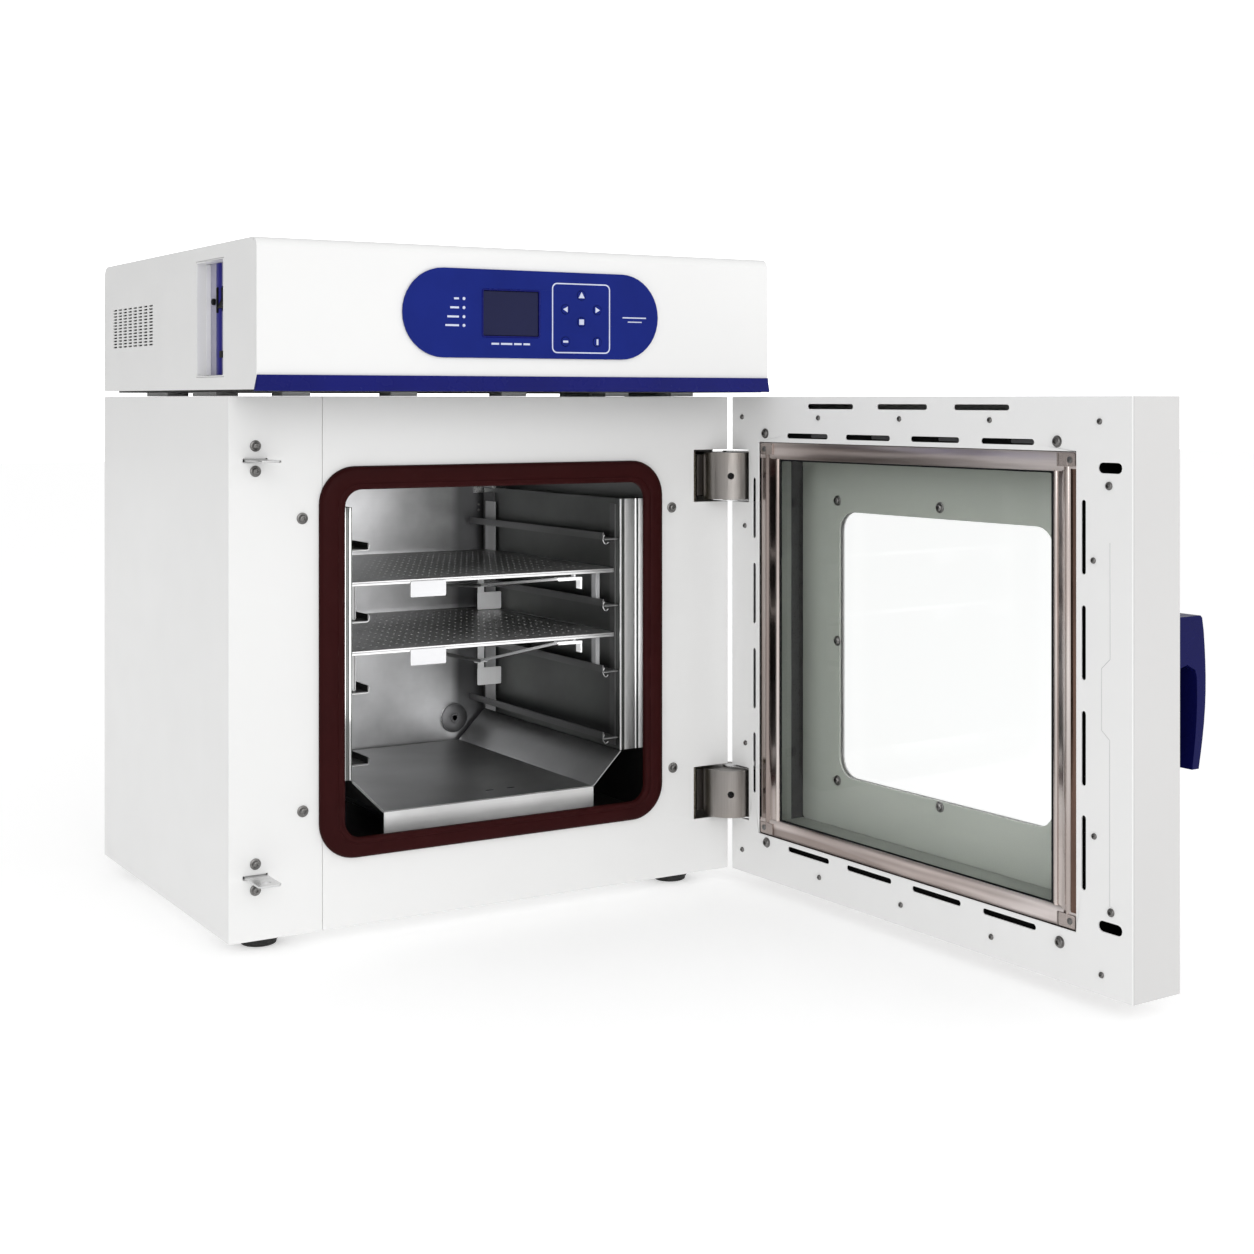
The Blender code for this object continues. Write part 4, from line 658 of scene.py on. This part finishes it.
def make_channels():
    """The bright folded fronts of the two air guides, and the bright front of the floor: painted light."""
    for side, node in ((-1, "duct_panel_left"), (1, "duct_panel_right")):
        low, high = cad_box(node)
        wall = high.x if side < 0 else low.x
        front = low.y - 0.4

        face = [(-1.2, 1.0), (-1.2, -0.4), (0.2, -0.6), (0.8, 0.2), (1.2, 0.9), (5, 0.35), (10, 0.05),
                (15, 0.0),
                (17.4, 0.25), (18.0, -0.5), (19.2, -0.6), (19.8, 0.8), (20.0, 2.6), (21.0, 2.6),
                (21.2, 0.0), (23.5, 0.1), (25.6, 0.7), (27.6, 1.9), (27.8, 6.0)]
        if side < 0:
            face = [(1.8 + (far + 1.2) * 0.84, deep) for far, deep in face]
        section = [(wall + side * far, front + deep) for far, deep in face]
        section += [(wall + side * far, front + deep + 0.35) for far, deep in (
            (25.6, 5.6), (24.8, 2.6), (21.4, 2.8), (19.4, 2.8), (18.6, 0.4), (15, 0.3), (4.4, 1.4),
            (3.2, 1.0))]

        def build(form):
            add_prism(form, section, "z", low.z + 0.2, high.z - 0.2)

        piece(f"{node}_channel", build, LIT_CHANNEL_STEEL, smooth=25)

    low, high = cad_box("duct_panel_right")
    outer = [(low.x + far, low.y - 0.4 + deep) for far, deep in (
        (21.6, 0.9), (22.0, -0.6), (23.4, -0.9), (25.4, -0.7), (27.0, 0.1), (27.4, 1.2))]

    def build_lip(form):
        add_prism(form, outer, "z", low.z + 0.3, high.z - 0.3)

    # The lip in the pale steel, painted light.
    piece("duct_panel_right_lip", build_lip, LIT_PALE_STEEL, smooth=50)

    low, high = cad_box("duct_floor")
    left, right = low.x + FLOOR_CHAMFER, high.x - FLOOR_CHAMFER
    base, knee = drop(FLOOR_DROP), high.z

    def build_flange(form):
        add_box(form, (left, low.y - 0.45, low.z + 0.3), (right, low.y - 0.05, base + 0.2))

    piece("floor_front_face", build_flange, LIT_FLANGE_STEEL, bevel=0.15)

    def build_edge(form):
        front = low.y - 0.1
        route = [(low.x, front, knee), (left, front, base), (right, front, base), (high.x, front, knee)]
        for start, end in zip(route, route[1:]):
            add_tube(form, [start, end], 0.65, 6)

    piece("floor_front_edge", build_edge, BRIGHT_STEEL, smooth=30)

    # Painted shade: thin dark patches on the floor over its slots.
    def build_slot_shadows(form):
        for near, far in ((292, 301), (316, 325)):
            add_prism(form, rounded(near, far, 57, 60.5, 1.6, 4), "z", base - 0.1, base + 0.12)

    piece("floor_slot_shadows", build_slot_shadows, DARK_SOCKET)


def make_rack_ends():
    """The bright cut ends of the runners, curled up at the left and hooked at the right, and thin pale
    sheets on the inner faces of the rear uprights, painted light."""
    front = cad_box("rack_left")[0].y - 0.2
    left, right = cad_box("rack_left"), cad_box("rack_right")

    def build(form):
        for down in RUNNER_DROPS:
            z = drop(down)
            edge = left[1].x
            route = [(left[0].x + 1, z), (edge - 2.2, z + 0.3), (edge - 0.6, z + 1.2), (edge, z + 3.2),
                     (edge, z + 6.6)]
            add_tube(form, [(x, front, height) for x, height in route], 0.62, 8)
            edge = right[0].x
            hook = [(1.9, 4.6), (0.4, 2.2), (0.1, 0), (0.8, -2), (2.2, -3.9), (3.6, -4.8), (5, -4.2),
                    (6.4, -2.8)]
            add_tube(form, [(edge + x, front, z + up) for x, up in hook], 0.6, 8)
            add_tube(form, [(edge + 1.4, front, z), (right[1].x - 0.5, front, z + 0.4)], 0.55, 8)

    piece("runner_front_ends", build, BRIGHT_STEEL, smooth=50)

    # Painted light: thin pale sheets on the uprights' inner faces.
    def build_uprights(form):
        for inner, way in ((right[0].x + 17, -1), (left[1].x - 17, 1)):
            near, far = sorted((inner, inner + way * 0.3))
            add_box(form, (near, 299.5, drop(366)), (far, 325, drop(122)))

    piece("rear_upright_painted_light", build_uprights, LIT_PALE_STEEL, bevel=0.1)


def make_vent_disc():
    """The turned disc round the vent's mouth, and two small screws high on the back wall."""
    low, high = cad_box("vent_tube")
    middle = (low + high) / 2
    face = low.y
    profile = [(2.9, -0.1), (3.1, 0.9), (5.0, 0.9), (5.4, 0.2), (6.0, 0.2), (6.2, 0.5), (15.4, 0.5),
               (15.8, 0.2), (16.2, 0.9),
               (16.9, 0.9), (17.2, -0.1)]

    def build(form):
        add_turned(form, profile, (middle.x, face, middle.z), OUTWARD, 40)

    piece("vent_disc", build, VENT_STEEL)
    wall = cad_box("chamber_liner")[1].y - 1.2

    def build_screws(form):
        for z in (drop(126.8), drop(133.2)):
            add_screw(form, (426, wall, z), OUTWARD, 1.7, 1.6)

    piece("back_wall_screws", build_screws, BRIGHT_STEEL)


def add_perforated(form, left, right, front, back, low, high, margin, pitch, radius):
    """A plate with a square grid of round holes, eight-sided and open right through."""

    def grid(start, end):
        """Both edges, and the lines of the grid centred between them."""
        count = int((end - start - 2 * margin) / pitch)
        first = start + (end - start - count * pitch) / 2
        return [start] + [first + pitch * i for i in range(count + 1)] + [end]

    xs, ys = grid(left, right), grid(front, back)
    made = {}

    def vertex(x, y, z):
        key = (round(x, 3), round(y, 3), z)
        if key not in made:
            made[key] = form.verts.new((x, y, z))
        return made[key]

    def add_both_sides(points):
        form.faces.new([vertex(*point, high) for point in points])
        form.faces.new([vertex(*point, low) for point in points[::-1]])

    def add_wall(a, b):
        form.faces.new((vertex(*a, high), vertex(*b, high), vertex(*b, low), vertex(*a, low)))

    for i, (x0, x1) in enumerate(zip(xs, xs[1:])):
        for j, (y0, y1) in enumerate(zip(ys, ys[1:])):
            square = [(x0, y0), (x1, y0), (x1, y1), (x0, y1)]
            if i in (0, len(xs) - 2) or j in (0, len(ys) - 2):
                add_both_sides(square)
                continue
            middle = Vector(((x0 + x1) / 2, (y0 + y1) / 2))
            turns = [math.radians(45 * step - 135) for step in range(8)]
            ring = [tuple(middle + radius * Vector((math.cos(a), math.sin(a)))) for a in turns]
            for corner in range(4):
                first = 2 * corner
                add_both_sides([square[corner], square[(corner + 1) % 4], ring[(first + 2) % 8],
                                ring[first + 1], ring[first]])
            for step in range(8):
                add_wall(ring[step], ring[(step + 1) % 8])
    outer = [(x, front) for x in xs] + [(right, y) for y in ys[1:]]
    outer += [(x, back) for x in xs[-2::-1]] + [(left, y) for y in ys[-2:0:-1]]
    for a, b in zip(outer, outer[1:] + outer[:1]):
        add_wall(b, a)


LEG_HEIGHTS = {"shelf_upper": 37, "shelf_lower": 38.7}


def make_shelf(node, body):
    """A perforated shelf with a bright hemmed front, legs, tabs and wire braces."""
    low, high = cad_box(node)
    z = high.z
    left, right = low.x, high.x
    front, back = low.y + 1.5, high.y
    sheet = 1.2

    def build_plate(form):
        add_perforated(form, left, right, front + 0.8, back, z - sheet, z, 10, 14, 1.3)

    plate = piece(f"{node}_plate", build_plate, SHELF_STEEL, body=body, smooth=30)

    def build_hem(form):
        hem = [
            (front - 0.3, z - 4.2), (front + 0.4, z - 4.5), (front + 1.2, z - 3.9),
            (front + 1.1, z - 2.5), (front + 0.9, z - 1.3), (front + 2.4, z - 0.5), (front + 2.2,
                                                                                     z), (front + 0.6,
                                                                                          z + 0.1),
            (front - 0.3, z - 0.6), (front - 0.4, z - 1.6), (front + 0.1, z - 2.1),
            (front - 0.4, z - 2.6),
        ]
        add_prism(form, hem, "x", left + 0.4, right - 0.4)

    piece(f"{node}_hem", build_hem, BRIGHT_STEEL, body=body, smooth=50)

    hang = {"shelf_upper": 46, "shelf_lower": 66}[node]
    tab_y, tab_z = 285, z - hang

    def build_front_tab(form):
        add_prism(form, rounded(194.5, 233, z - 18, z - 2.4, 1.4, 3), "y", front - 1.4, front - 0.5)

    piece(f"{node}_front_tab", build_front_tab, LIT_TAB_STEEL, body=body, bevel=0.25)

    def build_rear_tab(form):
        add_prism(form, rounded(396, 426.5, tab_z - 20, tab_z, 1.4, 3), "y", tab_y - 2, tab_y - 1)
        add_prism(form, rounded(397, 405, tab_z - 10, z - 1.2, 0.8, 2), "y", tab_y - 0.9, tab_y + 0.4)

    piece(f"{node}_rear_tab", build_rear_tab, LIT_PALE_STEEL, body=body, bevel=0.25)

    def build_legs(form, near, front_y):
        level, far = z - LEG_HEIGHTS[node], near + 4.6
        for y in (front_y, back - 34):
            add_box(form, (near, y, level), (near + 1.3, y + 9, z - 1.0))
            add_box(form, (far - 1.3, y, level), (far, y + 9, z - 1.0))
            add_box(form, (near + 0.6, y + 0.5, level), (far - 0.6, y + 1.7, z - 1.0))
            add_box(form, (near, y, level), (far, y + 9, level + 1.2))

    # The same legs: the left ones in dark steel as painted shade, the right ones in lighter steel as
    # painted light.
    piece(f"{node}_left_legs", lambda form: build_legs(form, left + 0.6, front + 1.5), SHADED_RACK_STEEL,
          body=body, bevel=0.2)
    piece(f"{node}_right_legs", lambda form: build_legs(form, right - 14.6, front + 12.5), LIT_TAB_STEEL,
          body=body, bevel=0.2)

    knot = Vector((399, tab_y - 1.5, tab_z + 8))
    clip_z = z - 12

    # Painted shade: the diagonal wire in the dark rack steel.
    def build_diagonal(form):
        start = Vector((230, front + 2.6, z - 8.5))
        lead = (knot - start).normalized() * 14
        add_tube(form, [start, start + lead, knot - lead, knot], 1.9)

    piece(f"{node}_diagonal", build_diagonal, SHADED_RACK_STEEL, body=body, smooth=40)

    # Painted light: the brace wire and its clips in the pale steel.
    def build_brace(form):
        end = Vector((383, 71, clip_z - 0.6))
        lead = (end - knot).normalized() * 12
        add_tube(form, [knot, knot + lead, end - lead, end, end + Vector((8, -1.5, 0.4))], 1.6)
        add_prism(form, rounded(392, 408.6, tab_z + 6, tab_z + 10, 1.6, 3), "y", tab_y - 2.4, tab_y - 0.2)
        add_prism(form, rounded(380, 409, 65, 75, 1.2, 3), "z", clip_z - 0.2, clip_z + 0.7)
        add_box(form, (380.5, 65.2, clip_z - 2.4), (409, 66, clip_z + 0.6))
        add_prism(form, rounded(407, 408.9, clip_z - 12, clip_z - 0.2, 0.8, 3), "y", 65.4, 74.5)
        add_box(form, (400.2, 66.5, clip_z), (401.6, 73.5, z - 1))

    piece(f"{node}_brace", build_brace, LIT_PALE_STEEL, body=body, smooth=40)
    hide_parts(node)


# ---- door -----------------------------------------------------------------------------------------


def make_window_frame():
    """Rounded side bars, flatter top and bottom rails, corner clips and the pane's black bead."""
    wide, centre = 439, door_x(266.5)      # the inner panel's opening
    left, right, low, high = centre - wide / 2, centre + wide / 2, drop(454), drop(47)
    side, rail = 31, 17.5
    face, back = door_y(0.6), door_y(5.0)
    deep = face - back

    def bar_section(start, end):
        """From the outer edge: a flat flange, a narrow ridge, a slope towards the pane, a thin lip."""
        wide = end - start
        points = [(start, back)]
        for share, rise in ((0, 0.52), (0.03, 0.60), (0.14, 0.64), (0.27, 0.62), (0.31, 0.66),
                            (0.335, 0.96), (0.36, 1.0), (0.385, 0.94), (0.40, 0.84), (0.60, 0.55), (0.80,
                                                                                                    0.25),
                            (0.815, 0.52), (0.84, 0.62), (0.88, 0.60), (0.90, 0.42), (0.92, 0.16), (1.0,
                                                                                                    0.14)):
            points.append((start + wide * share, back + deep * rise))
        points.append((end, back))
        return points

    def build_sides(form):
        add_prism(form, bar_section(left + 0.4, left + side), "z", low + 7, high - 7)
        add_prism(form, bar_section(right - 0.4, right - side), "z", low + 7, high - 7)

    sides = piece("window_side_bars", build_sides, FRAME_UPRIGHT, "door", smooth=50)

    def build_free_edge(form):
        proud = back + deep * 0.70
        add_prism(form, [(left + 0.6, back), (left + 0.6, proud - 0.5), (left + 1.4, proud),
                         (left + 7.6, proud),
                         (left + 8.4, proud - 0.4), (left + 8.4, back)], "z", low + 15, high - 15)

    piece("window_free_edge", build_free_edge, COPPER_EDGE, "door", smooth=50)

    def build_rails(form):
        for edge, way in ((low, 1), (high, -1)):
            section = [(face - 3.4, edge + way * 0.4)]
            section += [(face - 1.8, edge + way * 0.4), (face - 1.4, edge + way * 0.9)]
            section += [(face - 1.4, edge + way * (rail - 1.6)), (face - 2.0, edge + way * (rail - 0.3)),
                        (face - 3.4, edge + way * rail)]
            add_prism(form, section, "x", left + 0.5, right - 0.5)

    piece("window_rails", build_rails, FRAME_RAIL, "door", smooth=50)

    corners = [(x, way, z, up) for x, way in ((left, 1), (right, -1)) for z, up in ((low, 1), (high, -1))]
    head = [(0, 0), (3.0, 0), (2.8, 0.5), (1.4, 0.8), (1.3, 0.3), (0, 0.25)]

    def build_clip_screws(form):
        for x, way, z, up in corners:
            add_turned(form, head, (x + way * 8, face - 0.2, z + up * 7.3), INWARD, 18, hexagon=(3, 4))

    def build_plain_clips(form):
        for x, way, z, up in corners:
            near, far = sorted((x + way * 2, x + way * 21))
            bottom, top = sorted((z + up * 1.5, z + up * 13))
            add_prism(form, rounded(near, far, bottom, top, 1.5, 3), "y", face - 1.1, face - 0.2)
            fold = x + way * 22
            add_box(form, (fold - 0.5, face - 3.5, bottom), (fold + 0.5, face + 0.2, top))

    piece("window_corner_clips", build_plain_clips, CLIP_STEEL, "door", bevel=0.2)
    piece("window_clip_screws", build_clip_screws, SCREW_STEEL, body="door")

    outer = rounded(left + side - 1.5, right - side + 1.5, low + rail - 1.5, high - rail + 1.5, 1.5, 2)
    inner = rounded(left + side + 1.6, right - side - 1.6, low + rail + 1.6, high - rail - 1.6, 1.5, 2)

    def build_bead(form):
        top = back + 0.9
        add_frame(form, outer, inner, "y",
                  [(0, back), (0, back + 0.4), (0.35, top), (0.8, top), (1, back + 0.5), (1, back)])

    piece("pane_bead", build_bead, BLACK, "door", smooth=50)
    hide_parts("window_frame")


def on_door(places, face):
    """Places on a face of the shut door, each given as (u, distance below the top)."""
    return [(door_x(u), face, drop(down)) for u, down in places]


def make_cavity_liner():
    """The clamp plate's screws, seen through the inner pane; sheet round the space between the
    panes, light, with a dark spacer beside the plate."""
    screws = [(u, down) for u in (116.7, 268, 419) for down in (106.5, 393)]
    screws += [(116.7, 250), (419, 250)]
    plate = DOOR_BOXES["glass_clamp"][1].y
    screw_piece("clamp_plate_screws", [(on_door(screws, plate), 4.0, 2.4, 5.2)], INWARD, "door")
    low, high = DOOR_BOXES["inner_glass"], DOOR_BOXES["glass_clamp"]
    start, end = low[0].y - 0.5, high[1].y + 0.4
    left, right, bottom, top = door_x(473.6), door_x(59.4), drop(441.6), drop(59.4)

    def walls(near, far, inset):
        return (((left, far, bottom), (left + inset, near, top)),
                ((right - inset, far, bottom), (right, near, top)),
                ((left, far, bottom), (right, near, bottom + inset)),
                ((left, far, top - inset), (right, near, top)))

    def build_light(form):
        for wall in walls(start, end, 0.8):
            add_box(form, *wall)

    piece("cavity_liner", build_light, CAVITY_GREY, body="door")

    def build_dark(form):
        for wall in walls(end + 15, end + 0.6, 1.6)[:2]:
            add_box(form, *wall)

    piece("cavity_spacer", build_dark, RUBBER, "door")


def door_box(node):
    """A door node's lowest and highest corners with the door shut, in the cabinet's millimetres."""
    back = DOOR.inverted()
    corners = [back @ vertex.co for vertex in frame["nodes"][node].data.vertices]
    low = Vector([min(corner[axis] for corner in corners) for axis in range(3)])
    high = Vector([max(corner[axis] for corner in corners) for axis in range(3)])
    return low, high


DOOR_BOXES = {node: door_box(node) for node in ("glass_clamp", "inner_glass")}


def make_door_screws():
    """Small screws round the inner panel, four cap screws at the window's corners and two by the
    latch slots."""
    small = [(u, 21.3) for u in (18.8, 144.3, 264.2, 383.7, 512.3)]
    small += [(23.6, 135.4), (24.7, 363.6), (19.1, 476.7)]
    small += [(146, 479.4), (266.3, 479.9), (385.7, 481.6), (514.3, 482.9)]
    small += [(505.4, 137.9), (506.3, 368.8)]
    caps = [(58.4, 38.1), (464.6, 38.9), (61, 461.2), (467.6, 466.6)]
    latch = [(522.6, 74.8), (524.7, 428.6)]

    face = door_y(0.2)
    screw_piece("door_panel_screws", [(on_door(small, face), 2.7, 2.0)], INWARD, "door")
    heads = [(on_door(caps, face), 4.4, 2.4, 5.2, 0.5), (on_door(latch, face), 3.6, 2.4, 0, 0.5)]
    screw_piece("door_cap_screws", heads, INWARD, "door")


def make_door_lines():
    """The faint pressed outline of the latch channel, a thin tube painted grey as the crease's shade,
    and a dark sheet behind the row of slots, painted as the shade inside them.
    """
    face = door_y(0)
    route = [(523.4, 122), (523.6, 218.7), (514.3, 227.3), (514.4, 279), (523.1, 286), (523.2, 424)]

    def build(form):
        for start, end in zip(route, route[1:]):
            ends = [(door_x(u), face - 0.25, drop(down)) for u, down in (start, end)]
            add_tube(form, ends, 0.42, 8)

    piece("latch_channel_line", build, EMBOSS_SHADE, "door", smooth=50)

    # Painted shade: a dark sheet behind the slots.
    def build_slot_shade(form):
        for u in (126, 218, 312, 405):
            outline = rounded(door_x(u + 33), door_x(u - 4), drop(41.6), drop(38.2), 1.2, 3)
            add_prism(form, outline, "y", door_y(9.5), door_y(9))

    piece("slot_shade_sheet", build_slot_shade, SLOT_SHADE_SHEET, body="door")


# ---- control housing ------------------------------------------------------------------------------


def make_trim_strip():
    """The blue moulding under the fascia, its left end flared out and forward at the foot."""
    low, high = cad_box("trim_strip")
    back, tall = high.y, high.z - low.z
    section = [(0, 1), (2, 1), (2.6, 0.66), (4, 0.28), (5, 0.07), (4, 0), (0, 0)]

    def loop(x, flare):
        ring = []
        for out, rise in section:
            spread = flare * (1 - rise) ** 1.5
            ring.append((x - 3 * spread, back - out - 1.6 * spread * (out > 0), low.z + tall * rise))
        return ring

    def build(form):
        stations = ((low.x, 1.0), (low.x + 3, 0.7), (low.x + 8, 0.3), (low.x + 16, 0.0), (high.x, 0.0))
        add_loft(form, [loop(x, flare) for x, flare in stations], closed=False)

    strip = piece("blue_trim_moulding", build, TRIM_BLUE, bevel=0.3)
    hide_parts("trim_strip")


def make_pocket_fittings():
    """A rib down the blue plate, a small black knob and a black socket under the switch."""
    face = cad_box("switch_panel")[0].x
    low, high = cad_box("side_pocket")

    def build_rib(form):
        section = [(face, 56), (face - 1.4, 57), (face - 2.0, 58.5), (face - 2.0, 66), (face - 1.4, 68),
                   (face, 69)]
        add_prism(form, section, "z", low.z + 2.2, high.z - 2.2)

    piece("pocket_rib", build_rib, RIB_BLUE, smooth=40)

    def build_edge(form):
        add_box(form, (face - 4.5, high.y - 3.2, low.z + 2.2), (face - 0.1, high.y - 2.4, high.z - 2.2))

    # The edge in the pale steel, painted light.
    piece("pocket_edge", build_edge, LIT_PALE_STEEL)

    def build_black(form):
        add_turned(form, [(0, 0), (3.2, 0), (3.2, 2.2), (2.6, 3.0), (0, 3.2)], (face, 76, TOP + 89.5),
                   (-1, 0, 0), 20)
        add_box(form, (face - 3.2, 47.5, TOP + 36.2), (face, 55, TOP + 42.7))
        add_box(form, (face - 3.6, 59.8, TOP + 78.5), (face, 62.5, TOP + 102.5))

    piece("pocket_knobs", build_black, BLACK, bevel=0.4)


def make_underside_shadow():
    """A thin black mat under the housing, a painted shadow seen as a dark line in the gap above the
    cabinet.
    """
    low, high = cad_box("housing_base")
    level = cad_box("housing_cover")[0].z

    def build(form):
        add_prism(form, rounded(low.x + 1.5, high.x - 1.5, low.y + 3, high.y - 40, 2, 3), "z",
                  level - 1.9, level + 0.2)

    piece("housing_shadow_mat", build, RUBBER)


def make_display():
    """The display's window in a thin raised bezel."""
    low, high = cad_box("lcd_module")
    face = low.y
    left, right = low.x + 4, high.x - 4
    bottom, top = low.z + 5, high.z - 5

    def build_window(form):
        add_prism(form, rounded(left, right, bottom, top, 1.0, 3), "y", face - 0.25, face + 0.2)

    piece("display_window", build_window, DISPLAY, bevel=0.15)
    overlay_face = cad_box("control_overlay")[0].y

    def build_bezel(form):
        outer = rounded(left - 2.2, right + 2.2, bottom - 2.2, top + 2.2, 2.4, 4)
        inner = rounded(left - 0.6, right + 0.6, bottom - 0.6, top + 0.6, 1.2, 4)
        base = overlay_face
        add_frame(form, outer, inner, "y",
                  [(0, base + 0.6), (0, base - 0.45), (0.3, base - 0.7), (0.75, base - 0.6), (1, base),
                   (1, base + 0.2)])

    piece("display_bezel", build_bezel, TRIM_BLUE)


def make_prints():
    """Flat marks on the overlay: the key field's frame, lamps and their labels, plain bar patterns."""
    face = cad_box("control_overlay")[0].y
    ink = 0.12

    def strip(form, left, right, low, high):
        add_box(form, (left, face - ink, TOP + low), (right, face + 0.05, TOP + high))

    def build_field(form):
        outer = rounded(295, 359.7, TOP + 41.5, TOP + 109, 5.5, 6)
        inner = rounded(296.2, 358.5, TOP + 42.7, TOP + 107.8, 4.5, 6)
        add_frame(form, outer, inner, "y",
                  [(0, face + 0.05), (0, face - ink), (1, face - ink), (1, face + 0.05)])

    piece("key_field_frame", build_field, PRINT)

    def build_labels(form):
        for height, wide in ((91.1, 5), (82.7, 9), (74.2, 12), (66.1, 14)):
            strip(form, 196 - wide, 196, height - 0.9, height + 0.9)
        for left, right in ((230, 238), (240, 252), (254, 262), (264, 271)):
            strip(form, left, right, 48.6, 50.4)
        for left, right in ((374, 401), (380, 396)):
            strip(form, left, right, *((76.5, 77.7) if left == 374 else (72.5, 73.5)))

    piece("overlay_marks", build_labels, PRINT)

    def build_lamps(form):
        for height in (91.1, 82.7, 74.2, 66.1):
            profile = [(0, 0), (1.5, 0), (1.4, 0.35), (0.8, 0.6), (0, 0.7)]
            add_turned(form, profile, (201.2, face, TOP + height), OUTWARD, 16)

    piece("panel_lamps", build_lamps, PRINT)


def make_key_caps():
    """A printed symbol on each key's cap."""
    for key, outline in KEY_SYMBOLS.items():
        low, high = cad_box(f"button_{key}")
        x, z = (low.x + high.x) / 2, (low.z + high.z) / 2

        def build(form):
            add_prism(form, [(x + a, z + b) for a, b in outline], "y", low.y - 0.14, low.y + 0.1)

        piece(f"key_symbol_{key}", build, PRINT, f"key_{key}")


def make_inlet_pins():
    low, high = cad_box("power_inlet")
    middle_x, middle_z = (low.x + high.x) / 2, (low.z + high.z) / 2

    def build(form):
        for x, z in ((-7, -1.5), (7, -1.5), (0, 4)):
            add_box(form, (middle_x + x - 1, high.y - 15.5, middle_z + z - 2),
                    (middle_x + x + 1, high.y - 4, middle_z + z + 2))

    piece("inlet_pins", build, STEEL_Y, bevel=0.25)


# ---- stage ----------------------------------------------------------------------------------------


# Each light of the room: the direction it is strongest in, the span of that, its strengths.
ROOM_LIGHT = ((0.0, -0.8, 0.6), (-0.7, 0.9), (0.50, 0.90))
MIRRORED_ROOM = ((0.74, -0.67, 0.10), (-0.35, 0.85), (0.35, 1.30))
BACKDROP, FLOOR_GLOW, FLOOR_GREY, FLOOR_REACH = 2.0, 0.38, 0.80, 14
KEY_POWER, FILL_POWER, CHAMBER_POWER = 27, 4, 0.60


def make_stage():
    mesh = bpy.data.meshes.new("studio_floor")
    form = bmesh.new()
    bmesh.ops.create_grid(form, x_segments=1, y_segments=1, size=FLOOR_REACH)
    form.to_mesh(mesh)
    form.free()
    floor = bpy.data.objects.new("studio_floor", mesh)
    bpy.context.scene.collection.objects.link(floor)
    mesh.materials.append(new_material("studio_floor", grey(FLOOR_GREY), 0.9,
                                       Emission_Color=(1, 1, 1, 1), Emission_Strength=FLOOR_GLOW))


def make_world():
    """A white room: an even backdrop, light that is stronger from the front, and a mirrored room
    that is bright at the front right and dim at the left."""
    world = bpy.data.worlds.new("studio")
    bpy.context.scene.world = world
    world.use_nodes = True
    ray = new_node(world, "LightPath", {})
    where = new_node(world, "TexCoord", {}).outputs["Generated"]

    def gradient(towards, span, strength):
        inputs = {0: where, 1: Vector(towards).normalized()}
        share = new_node(world, "VectorMath", inputs, operation="DOT_PRODUCT").outputs["Value"]
        return map_range(world, share, span, strength)

    def choose(when, otherwise, chosen):
        return new_node(world, "Mix", {0: when, 2: otherwise, 3: chosen}).outputs[0]

    strength = choose(ray.outputs["Is Glossy Ray"], gradient(*ROOM_LIGHT), gradient(*MIRRORED_ROOM))
    strength = choose(ray.outputs["Is Transmission Ray"], strength, BACKDROP)
    strength = choose(ray.outputs["Is Camera Ray"], strength, BACKDROP)
    background = world.node_tree.nodes["Background"]
    background.inputs["Color"].default_value = (1, 1, 1, 1)
    world.node_tree.links.new(strength, background.inputs["Strength"])


def soft_light(name, at, aim, size, power):
    data = bpy.data.lights.new(name, "AREA")
    data.shape, data.size = "SQUARE", size
    data.energy = power
    light = bpy.data.objects.new(name, data)
    bpy.context.scene.collection.objects.link(light)
    light.location = at
    light.rotation_euler = (Vector(aim) - Vector(at)).to_track_quat("-Z", "Y").to_euler()
    return light


def make_lights():
    soft_light("key", (-0.9, -3.4, 1.3), (0, 0, 0.3), 2.2, KEY_POWER)
    soft_light("fill", (2.8, -2.6, 1.8), (0, 0, 0.3), 2.2, FILL_POWER)
    left, right, low, high = MOUTH
    mouth = CABINET @ Vector(((left + right) / 2, -9, low + 0.62 * (high - low)))
    glow = soft_light("chamber", mouth, mouth + Vector(INWARD), 0.28, CHAMBER_POWER)
    glow.data.shape, glow.data.size_y = "RECTANGLE", 0.2
    glow.visible_camera = False
    glow.visible_transmission = False


# The eye stands a little below the housing, left of the open door; a lens shift drops the view.
EYE, EYE_TURN = (-580.3, -1651.5, TOP - 3), -31.32
SENSOR, LENS, VIEW_DROP = 36, 54, 0.1814


def make_camera():
    data = bpy.data.cameras.new("camera")
    data.sensor_width, data.lens, data.shift_y = SENSOR, LENS, -VIEW_DROP
    camera = bpy.data.objects.new("camera", data)
    bpy.context.scene.collection.objects.link(camera)
    camera.location = CABINET @ Vector(EYE)
    camera.rotation_euler = (math.radians(90), 0, math.radians(EYE_TURN))
    bpy.context.scene.camera = camera
    bpy.context.scene.view_settings.view_transform = "Standard"


make_stage()
make_world()
make_lights()
make_camera()
for finish, edge, steps, nodes in FINISHES:
    for node in nodes.split():
        finish_node(node, finish, edge, steps)
for make in (make_feet, make_gasket, make_cabinet_screws, make_grub_screws, make_channels, make_rack_ends,
             make_vent_disc):
    make()
for shelf in ("upper", "lower"):
    make_shelf(f"shelf_{shelf}", f"{shelf}_shelf")
for make in (make_window_frame, make_cavity_liner, make_door_screws, make_door_lines, make_trim_strip,
             make_pocket_fittings, make_underside_shadow, make_display, make_prints, make_key_caps,
             make_inlet_pins):
    make()
